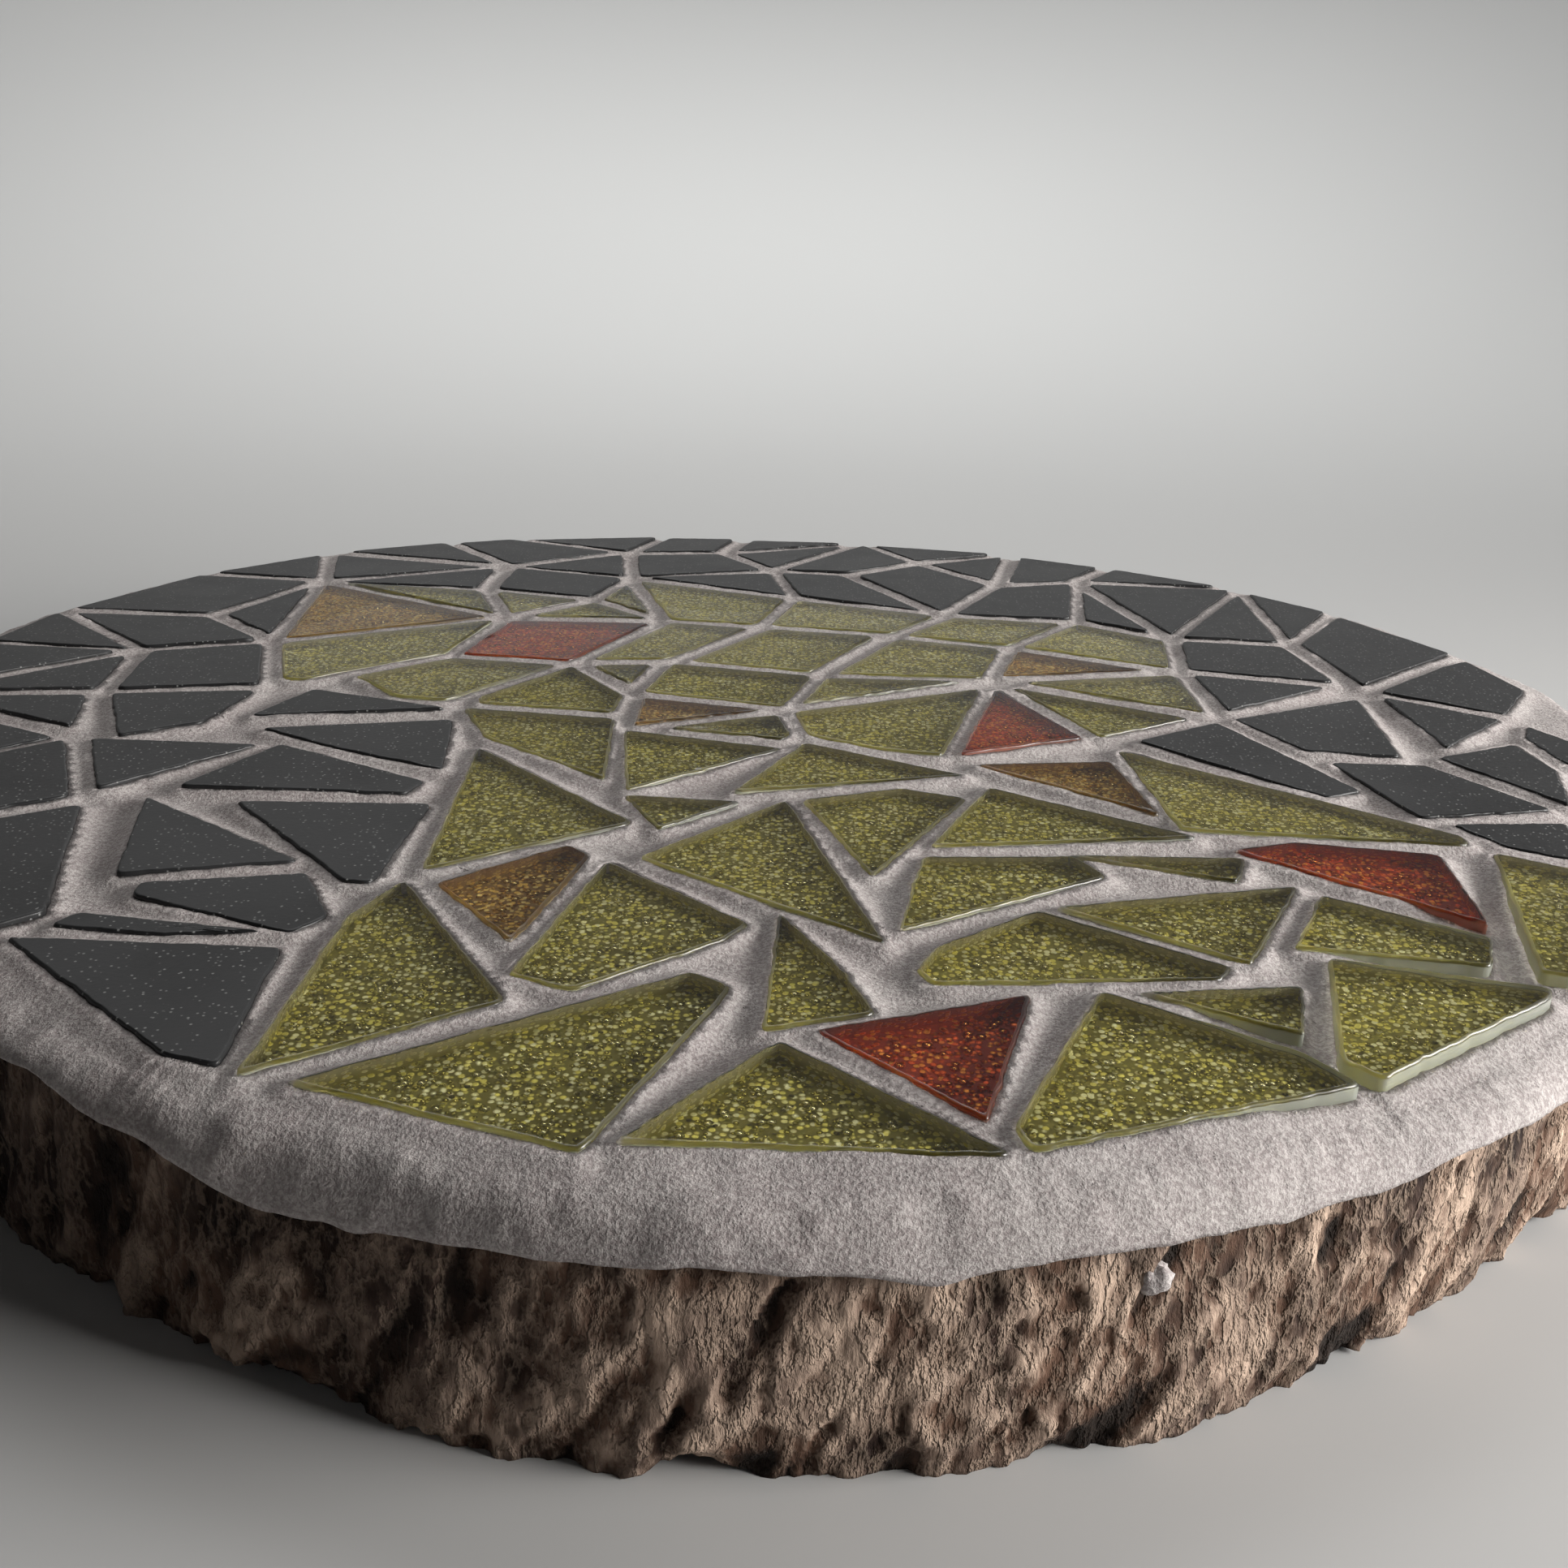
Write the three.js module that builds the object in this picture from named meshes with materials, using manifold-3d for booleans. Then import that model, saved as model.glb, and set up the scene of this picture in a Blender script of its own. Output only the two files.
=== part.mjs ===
// A round mosaic panel lying flat: a slice of wood with its bark on, a bed of
// grout that slopes down to the bark all round, and shards of glitter glass set
// in the bed with open joints between them. Millimetres, +Z up, the origin on
// the table under the middle of the panel.

import * as THREE from 'three';
import { mergeVertices } from 'three/addons/utils/BufferGeometryUtils.js';
import Module from 'manifold-3d';

// Driving dimensions
const FIELD_RADIUS = 95;       // mean radius of the flat field of glass and grout
const SLICE_THICKNESS = 15;    // wood under the grout and the glass
const GLASS_THICKNESS = 6;     // a shard, from the wood to its top face
const GLASS_PROUD = 1;         // top faces above the grout
const ARRIS = 0.5;             // bevel along a shard's top edges
const JOINT_WIDTH = 3;         // mean joint between two shards
const JOINT_SPREAD = 1;        // how much wider or narrower a joint gets
const SHARD_SPACING = 17.5;    // between junctions of joints, away from the front
const RIM_SPACING = 20;        // between junctions round the rim, away from the front
const RIM_WIDTH = 3.6;         // rounded edge of the grout, seen from above
const RIM_SETBACK = 0.8;       // between the nearest shard and that rounded edge
const RIM_LIP = 1;             // height of the grout's outer edge
const BARK_FLARE = 1.6;        // foot of the bark beyond the grout
const FURROW_DEPTH = 1.3;      // depth of the bark's upright furrows
const FIT_GAP = 0.3;           // between a shard and its pocket in the grout

const RIM_SIDES = 96;          // sides of the grout's outline
const BARK_SIDES = 144;        // sides of the bark's outline
const SEPARATE_SHARDS = 58;    // shards that are pieces of their own

// How the field is filled by rule, away from the shards that are drawn by hand
const LAYOUT_SEED = 20;        // picks one of the possible fillings
const JITTER = 0.62;           // of the lattice, as a share of its spacing
const CLEARANCE = 0.65;        // of a lattice point from others and from the rim, likewise
const SAME_JUNCTION = 4.8;     // corners nearer than this meet in one junction
const QUAD_SHARE = 0.6;        // share of the triangles that pair up into quadrilaterals
const SHARPEST_CORNER = 38;    // of such a quadrilateral, in degrees
const BLUNTEST_CORNER = 150;
const LONGEST_DIAGONAL = 25;
const SMALLEST_WIDTH = 4.4;    // a space narrower than this is left as grout
const SHORTEST_SIDE = 1.5;     // of a shard

// The field isn't a true circle: each lobe is [waves round the rim, swing as a
// share of the radius, bearing of a crest in degrees].
const FIELD_LOBES = [[2, 0.045, -5], [3, 0.026, 30]];
const GROUT_LOBES = [[7, 0.0035, 20], [11, 0.003, 75], [17, 0.002, 10]];
const BARK_LOBES = [[5, 0.004, 60], [9, 0.004, 15]];
const FURROW_WAVES = [22, 38, 60];
const FURROW_LEAN = 1;

// The shards that are laid out by hand, each a colour and the corners of its top
// face across and along the field, drawn on a field of this radius.
const DRAWN_RADIUS = 95;
const DRAWN_SHARDS = [
  ['olive', [-29, -53], [-32, -60], [-33, -84], [-17, -73]],
  ['olive', [-29, -85], [-9, -95], [0, -70], [-3, -68]],
  ['olive', [-6, -91], [18, -93], [19, -91], [4, -78]],
  ['olive', [3, -76], [11, -73], [8, -65], [4, -58]],
  ['olive', [-17, -69], [-12, -71], [-1, -62], [1, -59], [-12, -47]],
  ['olive', [-29, -19], [-28, -50], [-11, -38]],
  ['olive', [-9, -46], [12, -61], [4, -31]],
  ['olive', [6, -31], [12, -48], [22, -29], [16, -27]],
  ['olive', [-12, -31], [-8, -39], [-1, -32]],
  ['olive', [-14, -12], [-12, -29], [3, -16]],
  ['olive', [-33, -6], [-29, -15], [-15, -26], [-16, -8]],
  ['olive', [-1, -29], [22, -22], [6, -14]],
  ['olive', [29, -69], [20, -88], [21, -91], [45, -81], [42, -77]],
  ['olive', [26, -55], [17, -62], [15, -66], [16, -68], [39, -66], [40, -64]],
  ['olive', [33, -69], [43, -74], [45, -67]],
  ['olive', [28, -54], [42, -63], [50, -48]],
  ['olive', [52, -50], [47, -60], [62, -62], [64, -57]],
  ['olive', [49, -62], [45, -78], [47, -80], [65, -68], [65, -66]],
  ['olive', [72, -39], [66, -63], [69, -64], [81, -44]],
  ['olive', [33, -43], [45, -47], [47, -42]],
  ['olive', [17, -44], [14, -59], [33, -47], [31, -43]],
  ['olive', [25, -26], [18, -41], [43, -37]],
  ['olive', [41, -13], [43, -35], [70, -37], [70, -35]],
  ['red', [7, -76], [18, -87], [23, -70]],
  ['red', [47, -40], [65, -54], [66, -40], [53, -38]],
  ['amber', [-26, -53], [-18, -63], [-14, -46], [-16, -44]],
  ['amber', [25, -19], [41, -31], [39, -17]],
  ['amber', [-13, -9], [0, -3], [-13, 0]],
  ['dark', [-57, -66], [-39, -82], [-35, -83], [-36, -66]],
  ['dark', [-54, -61], [-55, -63], [-46, -64], [-42, -63]],
  ['dark', [-51, -55], [-51, -57], [-36, -63], [-34, -60], [-38, -52]],
  ['dark', [-58, -36], [-54, -53], [-40, -49]],
  ['dark', [-49, -36], [-34, -53], [-32, -53], [-31, -35]],
  ['dark', [-56, -32], [-34, -32], [-33, -29], [-50, -20]],
  ['dark', [-75, -45], [-60, -64], [-57, -61], [-64, -38]],
  ['dark', [-70, -20], [-64, -33], [-53, -20]],
  ['dark', [-53, -15], [-44, -20], [-32, -25], [-34, -10]],
  ['dark', [-74, -5], [-68, -18], [-61, -13], [-59, -2]],
  ['dark', [-52, -1], [-56, -10], [-37, -6]],
  ['dark', [44, -10], [60, -25], [64, -23], [54, -3]],
  ['dark', [57, -1], [62, -11], [72, -12], [74, 8]],
  ['dark', [64, -15], [68, -30], [82, -27], [74, -15]],
  ['dark', [78, 9], [79, -8], [89, 2]],
  ['dark', [77, -12], [85, -25], [88, -15], [87, -7]],
  ['dark', [71, -32], [74, -37], [80, -40], [82, -31]],
  ['dark', [57, 3], [71, 13], [56, 16]],
];

// Away from those shards the field is filled by rule. The picture is a goblet of
// olive glass on a dark ground, and a few warm shards lie in it.
const FRONT_RIM_BEARINGS = [-150, -128, -104, -86, -70, -52, -36, -20, -6];
const OLIVE_OUTLINE = [
  [-44, -110], [-34, -66], [-30, -52], [-29, -20], [-37, -5], [-50, 5], [-66, 32],
  [-40, 50], [30, 50], [53, 35], [54, 2], [41, -12], [68, -31], [110, -50], [110, -110],
];
const WARM_PLACES = [['red', -17, 33], ['red', 29, 3], ['amber', -58, 30], ['amber', 36, 24]];

const FINISHES = {
  olive: { color: 0x8b8650, roughness: 0.12, metalness: 0 },
  dark: { color: 0x3d3e42, roughness: 0.5, metalness: 0 },
  red: { color: 0x6b2415, roughness: 0.12, metalness: 0 },
  amber: { color: 0x7d5629, roughness: 0.12, metalness: 0 },
  grout: { color: 0xb5a99e, roughness: 0.95, metalness: 0 },
  bark: { color: 0x5f4b3c, roughness: 0.95, metalness: 0 },
};

const GROUT_TOP = SLICE_THICKNESS + GLASS_THICKNESS - GLASS_PROUD;
const GLASS_TOP = SLICE_THICKNESS + GLASS_THICKNESS;

const wasm = await Module();
wasm.setup();

// A repeatable stream of numbers from 0 to 1.
function makeRandom(seed) {
  let state = seed;
  return () => {
    state = (state + 0x6d2b79f5) | 0;
    let mixed = Math.imul(state ^ (state >>> 15), 1 | state);
    mixed = (mixed + Math.imul(mixed ^ (mixed >>> 7), 61 | mixed)) ^ mixed;
    return ((mixed ^ (mixed >>> 14)) >>> 0) / 4294967296;
  };
}

// Sum of a few cosine lobes at a bearing in radians, as a share of the radius.
function lobes(list, bearing) {
  let sum = 0;
  for (const [waves, swing, crest] of list) {
    sum += swing * Math.cos(waves * (bearing - THREE.MathUtils.degToRad(crest)));
  }
  return sum;
}

// Distance from the middle to the outer edge of the glass.
function fieldEdge(bearing) {
  return FIELD_RADIUS * (1 + lobes(FIELD_LOBES, bearing));
}

// Distance from the middle to the outer edge of the grout.
function groutEdge(bearing) {
  return fieldEdge(bearing) + RIM_WIDTH + FIELD_RADIUS * lobes(GROUT_LOBES, bearing);
}

// Distance from the middle to the bark, at a share of the slice's height. The
// furrows are sharp valleys between round ridges: a few folded waves that lean a
// little, each by its own amount, on the way up.
function barkEdge(bearing, height) {
  let ridges = 0;
  FURROW_WAVES.forEach((waves, index) => {
    const lean = FURROW_LEAN * (index + 1) * height;
    ridges += Math.abs(Math.sin((waves * bearing + lean) / 2)) / FURROW_WAVES.length;
  });
  const swing = BARK_FLARE + FIELD_RADIUS * lobes(BARK_LOBES, bearing);
  return groutEdge(bearing) + swing * (1 - height) - FURROW_DEPTH * (1 - ridges);
}

// A closed mesh from rings of equally many points, one above the other, with a
// fan across the first ring and across the last.
function stackRings(rings) {
  const sides = rings[0].length;
  const corners = rings.flat();
  const lowest = corners.length;
  corners.push(middleOf(rings[0]), middleOf(rings.at(-1)));
  const triangles = [];
  for (let ring = 0; ring + 1 < rings.length; ring += 1) {
    for (let side = 0; side < sides; side += 1) {
      const here = ring * sides + side;
      const next = ring * sides + ((side + 1) % sides);
      triangles.push(here, next, next + sides, here, next + sides, here + sides);
    }
  }
  const top = (rings.length - 1) * sides;
  for (let side = 0; side < sides; side += 1) {
    const next = (side + 1) % sides;
    triangles.push(next, side, lowest);
    triangles.push(top + side, top + next, lowest + 1);
  }
  const geometry = new THREE.BufferGeometry();
  geometry.setAttribute('position', new THREE.Float32BufferAttribute(corners.flat(), 3));
  geometry.setIndex(triangles);
  return geometry;
}

function middleOf(ring) {
  const sum = [0, 0, 0];
  for (const corner of ring) corner.forEach((value, axis) => { sum[axis] += value / ring.length; });
  return sum;
}

// A ring of points round the middle at one height, from a radius for each bearing.
function roundRing(sides, height, radiusAt) {
  const ring = [];
  for (let side = 0; side < sides; side += 1) {
    const bearing = (2 * Math.PI * side) / sides;
    const radius = radiusAt(bearing);
    ring.push([radius * Math.cos(bearing), radius * Math.sin(bearing), height]);
  }
  return ring;
}

function toSolid(geometry) {
  const bare = geometry.clone();
  bare.deleteAttribute('normal');
  bare.deleteAttribute('uv');
  const merged = mergeVertices(bare, 1e-5);
  const mesh = new wasm.Mesh({
    numProp: 3,
    vertProperties: Float32Array.from(merged.attributes.position.array),
    triVerts: Uint32Array.from(merged.index.array),
  });
  return new wasm.Manifold(mesh);
}

function toGeometry(solid) {
  const mesh = solid.getMesh();
  const geometry = new THREE.BufferGeometry();
  geometry.setAttribute('position', new THREE.Float32BufferAttribute(mesh.vertProperties, mesh.numProp));
  geometry.setIndex(Array.from(mesh.triVerts));
  return geometry;
}

// Twice the area of a triangle, above zero where its corners run anticlockwise.
function turn(a, b, c) {
  return (b[0] - a[0]) * (c[1] - a[1]) - (b[1] - a[1]) * (c[0] - a[0]);
}

// Whether a point lies inside the circle through three anticlockwise corners.
function insideCircle(point, a, b, c) {
  const rows = [a, b, c].map((corner) => {
    const across = corner[0] - point[0];
    const along = corner[1] - point[1];
    return [across, along, across * across + along * along];
  });
  const [p, q, r] = rows;
  const value = p[0] * (q[1] * r[2] - q[2] * r[1])
    - p[1] * (q[0] * r[2] - q[2] * r[0])
    + p[2] * (q[0] * r[1] - q[1] * r[0]);
  return value > 0;
}

// Joins the junctions into triangles that hold no other junction in their circle.
function triangulate(points) {
  const far = 40 * FIELD_RADIUS; // well outside every circle that matters
  const all = [...points, [-far, -far], [far, -far], [0, far]];
  const count = points.length;
  let triangles = [[count, count + 1, count + 2]];
  for (let index = 0; index < count; index += 1) {
    const broken = triangles.filter((corners) => insideCircle(all[index], ...corners.map((i) => all[i])));
    const kept = triangles.filter((corners) => !broken.includes(corners));
    const edges = new Map();
    for (const corners of broken) {
      corners.forEach((from, side) => {
        const to = corners[(side + 1) % 3];
        if (!edges.delete(`${to},${from}`)) edges.set(`${from},${to}`, [from, to]);
      });
    }
    triangles = [...kept, ...[...edges.values()].map(([from, to]) => [from, to, index])];
  }
  return triangles.filter((corners) => corners.every((corner) => corner < count));
}

// The sharpest and the bluntest corner of a polygon, in degrees.
function cornerRange(outline) {
  const angles = outline.map((corner, index) => {
    const before = outline.at(index - 1);
    const after = outline[(index + 1) % outline.length];
    const into = Math.atan2(before[1] - corner[1], before[0] - corner[0]);
    const out = Math.atan2(after[1] - corner[1], after[0] - corner[0]);
    return THREE.MathUtils.euclideanModulo(THREE.MathUtils.radToDeg(into - out), 360);
  });
  return [Math.min(...angles), Math.max(...angles)];
}

// Pairs neighbouring triangles into quadrilaterals, mostly those with a long
// shared side first, until the wanted share of them is used.
function pairUp(points, triangles, random) {
  const owners = new Map();
  triangles.forEach((corners, owner) => {
    corners.forEach((from, side) => owners.set(`${from},${corners[(side + 1) % 3]}`, owner));
  });
  const pairs = [];
  triangles.forEach((corners, owner) => {
    corners.forEach((from, side) => {
      const to = corners[(side + 1) % 3];
      const other = owners.get(`${to},${from}`);
      if (other === undefined || other < owner) return;
      const apex = triangles[other].find((corner) => corner !== from && corner !== to);
      const quad = [from, apex, to, corners[(side + 2) % 3]];
      const [sharpest, bluntest] = cornerRange(quad.map((corner) => points[corner]));
      if (sharpest < SHARPEST_CORNER || bluntest > BLUNTEST_CORNER) return;
      const length = Math.hypot(points[from][0] - points[to][0], points[from][1] - points[to][1]);
      if (length > LONGEST_DIAGONAL) return;
      pairs.push({ owner, other, quad, score: length * (1 + random()) });
    });
  });
  pairs.sort((one, two) => two.score - one.score);
  const used = new Set();
  const shapes = [];
  for (const { owner, other, quad } of pairs) {
    if (used.size >= QUAD_SHARE * triangles.length) break;
    if (used.has(owner) || used.has(other)) continue;
    used.add(owner).add(other);
    shapes.push(quad);
  }
  triangles.forEach((corners, owner) => {
    if (!used.has(owner)) shapes.push(corners);
  });
  return shapes;
}

// Keeps the part of a convex outline on the left of the line between two points,
// or on its right where the line is given the other way round.
function trimInside(outline, from, to) {
  const kept = [];
  outline.forEach((point, index) => {
    const after = outline[(index + 1) % outline.length];
    const here = turn(from, to, point);
    const there = turn(from, to, after);
    if (here >= 0) kept.push(point);
    if (here * there < 0) {
      const share = here / (here - there);
      kept.push([point[0] + share * (after[0] - point[0]), point[1] + share * (after[1] - point[1])]);
    }
  });
  return kept;
}

function trimOutside(outline, from, to) {
  return trimInside(outline, to, from);
}

// Cuts a convex outline back from each side by that side's own distance.
function cutBack(outline, distances) {
  let kept = outline;
  outline.forEach((from, side) => {
    const to = outline[(side + 1) % outline.length];
    const length = Math.hypot(to[0] - from[0], to[1] - from[1]);
    const step = [
      ((from[1] - to[1]) / length) * distances[side],
      ((to[0] - from[0]) / length) * distances[side],
    ];
    kept = trimInside(kept, [from[0] + step[0], from[1] + step[1]], [to[0] + step[0], to[1] + step[1]]);
  });
  return kept;
}

// The least width of a convex outline, measured square to each of its sides.
function narrowest(outline) {
  return Math.min(...outline.map((from, side) => {
    const to = outline[(side + 1) % outline.length];
    const length = Math.hypot(to[0] - from[0], to[1] - from[1]);
    return Math.max(...outline.map((corner) => turn(from, to, corner) / length));
  }));
}

// Drops corners that stand closer together than the given distance.
function dropShortSides(outline, shortest) {
  return outline.filter((corner, index) => {
    const before = outline.at(index - 1);
    return Math.hypot(corner[0] - before[0], corner[1] - before[1]) > shortest;
  });
}

// Moves each side of a convex outline outwards by a distance, or inwards where
// it is below zero. Sharp corners move no further than a long mitre.
function grow(outline, distance) {
  const longestMitre = 2.5;
  return outline.map((corner, index) => {
    const before = outline.at(index - 1);
    const after = outline[(index + 1) % outline.length];
    const into = new THREE.Vector2(corner[0] - before[0], corner[1] - before[1]).normalize();
    const out = new THREE.Vector2(after[0] - corner[0], after[1] - corner[1]).normalize();
    const away = new THREE.Vector2(into.y + out.y, -into.x - out.x).normalize();
    const mitre = Math.min(1 / (away.x * out.y - away.y * out.x), longestMitre);
    return [corner[0] + away.x * distance * mitre, corner[1] + away.y * distance * mitre];
  });
}

function areaOf(outline) {
  let twice = 0;
  for (let index = 1; index + 1 < outline.length; index += 1) {
    twice += turn(outline[0], outline[index], outline[index + 1]);
  }
  return twice / 2;
}

// Whether a point lies inside an outline of any shape: an odd count of the
// sides that cross the ray from it along +X.
function inside(point, outline) {
  let crossings = 0;
  outline.forEach((from, index) => {
    const to = outline[(index + 1) % outline.length];
    if ((from[1] > point[1]) === (to[1] > point[1])) return;
    const across = from[0] + ((point[1] - from[1]) / (to[1] - from[1])) * (to[0] - from[0]);
    if (across > point[0]) crossings += 1;
  });
  return crossings % 2 === 1;
}

// The shards drawn by hand, stretched to the field and kept off its rim.
function placeDrawnShards() {
  const stretch = FIELD_RADIUS / DRAWN_RADIUS;
  return DRAWN_SHARDS.map(([colour, ...corners]) => {
    const outline = corners.map(([across, along]) => {
      const bearing = Math.atan2(along, across);
      const radius = Math.min(stretch * Math.hypot(across, along), fieldEdge(bearing) - RIM_SETBACK);
      return [radius * Math.cos(bearing), radius * Math.sin(bearing)];
    });
    return { colour, outline };
  });
}

// Where the joints meet: at the corners of the drawn shards, round the rim, and
// on a jittered lattice over the rest of the field.
function layJunctions(drawn, random) {
  const junctions = [];
  const distanceTo = (place) => (
    Math.min(...junctions.map((other) => Math.hypot(other[0] - place[0], other[1] - place[1])))
  );
  for (const { outline } of drawn) {
    for (const corner of grow(outline, 0.5 * JOINT_WIDTH)) {
      if (distanceTo(corner) > SAME_JUNCTION) junctions.push(corner);
    }
  }
  const bearings = [...FRONT_RIM_BEARINGS];
  const open = 360 + bearings[0] - bearings.at(-1);
  const gaps = Math.round((THREE.MathUtils.degToRad(open) * FIELD_RADIUS) / RIM_SPACING);
  for (let index = 1; index < gaps; index += 1) {
    const jitter = JITTER * (random() - 0.5);
    bearings.push(FRONT_RIM_BEARINGS.at(-1) + (open * (index + jitter)) / gaps);
  }
  for (const bearing of bearings) {
    const angle = THREE.MathUtils.degToRad(bearing);
    junctions.push([fieldEdge(angle) * Math.cos(angle), fieldEdge(angle) * Math.sin(angle)]);
  }
  const row = SHARD_SPACING * Math.sqrt(0.75);
  const reach = Math.ceil((1.1 * FIELD_RADIUS) / row);
  for (let up = -reach; up <= reach; up += 1) {
    for (let across = -reach; across <= reach; across += 1) {
      const x = SHARD_SPACING * (across + 0.5 * (up % 2) + JITTER * (random() - 0.5));
      const y = row * (up + JITTER * (random() - 0.5));
      const room = Math.min(fieldEdge(Math.atan2(y, x)) - Math.hypot(x, y), distanceTo([x, y]));
      const free = drawn.every(({ outline }) => !inside([x, y], outline));
      if (free && room > CLEARANCE * SHARD_SPACING) junctions.push([x, y]);
    }
  }
  return junctions;
}

// Trims a convex outline along the one side of another that costs it the least,
// so that the two stay a joint apart.
function keepClear(outline, other) {
  const trims = grow(other, JOINT_WIDTH).map((from, side, grown) => {
    const to = grown[(side + 1) % grown.length];
    return trimOutside(outline, from, to);
  });
  return trims.reduce((best, trim) => (areaOf(trim) > areaOf(best) ? trim : best));
}

// The shards in plan, each an outline with its colour, from the front to the back.
function layShards() {
  const random = makeRandom(LAYOUT_SEED);
  const drawn = placeDrawnShards();
  const junctions = layJunctions(drawn, random);
  const open = triangulate(junctions).filter((corners) => {
    const middle = middleOf(corners.map((corner) => [...junctions[corner], 0]));
    return drawn.every(({ outline }) => !inside(middle, grow(outline, 0.5 * JOINT_WIDTH)));
  });
  const stretch = FIELD_RADIUS / DRAWN_RADIUS;
  const onField = ([across, along]) => [across * stretch, along * stretch];
  const warm = WARM_PLACES.map(([colour, ...place]) => ({ colour, place: onField(place) }));
  const oliveOutline = OLIVE_OUTLINE.map(onField);
  const shards = [...drawn];
  for (const shape of pairUp(junctions, open, random)) {
    const cell = shape.map((corner) => junctions[corner]);
    const distances = cell.map(() => 0.5 * (JOINT_WIDTH + JOINT_SPREAD * (2 * random() - 1)));
    let outline = cutBack(cell, distances);
    for (const other of drawn) outline = keepClear(outline, other.outline);
    outline = dropShortSides(outline, SHORTEST_SIDE);
    if (outline.length < 3 || narrowest(outline) < SMALLEST_WIDTH) continue;
    const middle = middleOf(outline.map(([across, along]) => [across, along, 0]));
    const accent = warm.find(({ place }) => inside(place, cell));
    const ground = inside(middle, oliveOutline) ? 'olive' : 'dark';
    shards.push({ colour: accent ? accent.colour : ground, outline });
  }
  const depth = ({ outline }) => middleOf(outline.map(([across, along]) => [across, along, 0]))[1];
  return shards.sort((one, two) => depth(one) - depth(two));
}

// A shard of glass between two heights, with a bevel along its top edges.
function shardGeometry(outline, bottom) {
  const bevelled = grow(outline, -ARRIS);
  return stackRings([
    outline.map(([across, along]) => [across, along, bottom]),
    outline.map(([across, along]) => [across, along, GLASS_TOP - ARRIS]),
    bevelled.map(([across, along]) => [across, along, GLASS_TOP]),
  ]);
}

// The wood: a flat round block whose edge is bark.
function sliceGeometry() {
  const levels = [0, 0.2, 0.5, 0.8, 1];
  const rings = levels.map((height) => (
    roundRing(BARK_SIDES, SLICE_THICKNESS * height, (bearing) => barkEdge(bearing, height))
  ));
  return stackRings(rings);
}

// The grout: flat between the shards, rounded down to a thin lip at the bark.
function bedSolid(separate, fused) {
  const lip = SLICE_THICKNESS + RIM_LIP;
  const rounding = [[1, 0], [0.82, 0.55], [0.45, 0.85], [0, 1]];
  const rings = [
    roundRing(RIM_SIDES, SLICE_THICKNESS, groutEdge),
    ...rounding.map(([outward, upward]) => (
      roundRing(RIM_SIDES, THREE.MathUtils.lerp(lip, GROUT_TOP, upward), (bearing) => (
        THREE.MathUtils.lerp(fieldEdge(bearing), groutEdge(bearing), outward)
      ))
    )),
  ];
  let bed = toSolid(stackRings(rings));
  for (const { outline } of separate) {
    const pocket = grow(outline, FIT_GAP);
    const bottom = SLICE_THICKNESS - GLASS_THICKNESS;
    const top = GLASS_TOP + GLASS_THICKNESS;
    bed = bed.subtract(toSolid(stackRings([bottom, top].map((height) => (
      pocket.map(([across, along]) => [across, along, height])
    )))));
  }
  for (const { outline } of fused) {
    const buried = GROUT_TOP - 0.5 * (GLASS_THICKNESS - GLASS_PROUD);
    bed = bed.add(toSolid(shardGeometry(outline, buried)));
  }
  return bed;
}

function addMesh(group, name, geometry, finish) {
  const material = new THREE.MeshStandardMaterial(finish);
  const shaded = geometry.toNonIndexed();
  shaded.computeVertexNormals();
  const mesh = new THREE.Mesh(shaded, material);
  mesh.name = name;
  group.add(mesh);
}

// The whole panel, moved so that the middle of its box stands on the origin.
function buildPanel() {
  const panel = new THREE.Group();
  const shards = layShards();
  const separate = shards.slice(0, SEPARATE_SHARDS);
  const fused = shards.slice(SEPARATE_SHARDS);
  addMesh(panel, 'wood_slice', sliceGeometry(), FINISHES.bark);
  addMesh(panel, 'grout_bed', toGeometry(bedSolid(separate, fused)), FINISHES.grout);
  const counts = {};
  for (const { outline, colour } of separate) {
    counts[colour] = (counts[colour] ?? 0) + 1;
    const name = `${colour}_shard_${String(counts[colour]).padStart(2, '0')}`;
    addMesh(panel, name, shardGeometry(outline, SLICE_THICKNESS), FINISHES[colour]);
  }
  const middle = new THREE.Box3().setFromObject(panel).getCenter(new THREE.Vector3());
  panel.position.set(-middle.x, -middle.y, 0);
  return panel;
}

export default buildPanel();
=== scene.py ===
import itertools
import math

import bpy
import numpy as np
from bpy.props import FloatProperty, FloatVectorProperty, IntProperty, PointerProperty
from mathutils import Matrix, Vector


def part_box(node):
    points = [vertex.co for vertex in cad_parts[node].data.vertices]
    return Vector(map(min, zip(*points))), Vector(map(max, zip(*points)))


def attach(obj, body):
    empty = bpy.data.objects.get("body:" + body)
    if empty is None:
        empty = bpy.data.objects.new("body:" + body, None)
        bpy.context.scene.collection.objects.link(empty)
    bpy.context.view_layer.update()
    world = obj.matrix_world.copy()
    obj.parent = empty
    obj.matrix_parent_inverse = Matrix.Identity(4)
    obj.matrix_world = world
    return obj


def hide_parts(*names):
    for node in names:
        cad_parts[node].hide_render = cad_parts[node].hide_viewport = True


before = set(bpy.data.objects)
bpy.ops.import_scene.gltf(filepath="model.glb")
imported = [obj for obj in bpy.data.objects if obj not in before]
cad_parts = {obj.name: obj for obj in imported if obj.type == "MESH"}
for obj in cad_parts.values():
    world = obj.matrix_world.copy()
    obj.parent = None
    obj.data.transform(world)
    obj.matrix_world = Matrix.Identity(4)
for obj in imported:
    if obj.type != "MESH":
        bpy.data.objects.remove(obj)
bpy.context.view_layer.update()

bl_info = {
    "name": "Mosaic panel",
    "version": (1, 0, 0),
    "blender": (4, 5, 0),
    "location": "3D view > Sidebar > Mosaic",
    "description": "Builds a round mosaic panel: glass shards in grout on a slice of wood with its bark",
    "category": "Add Mesh",
}

MM = 0.001
BODY = "root"

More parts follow.
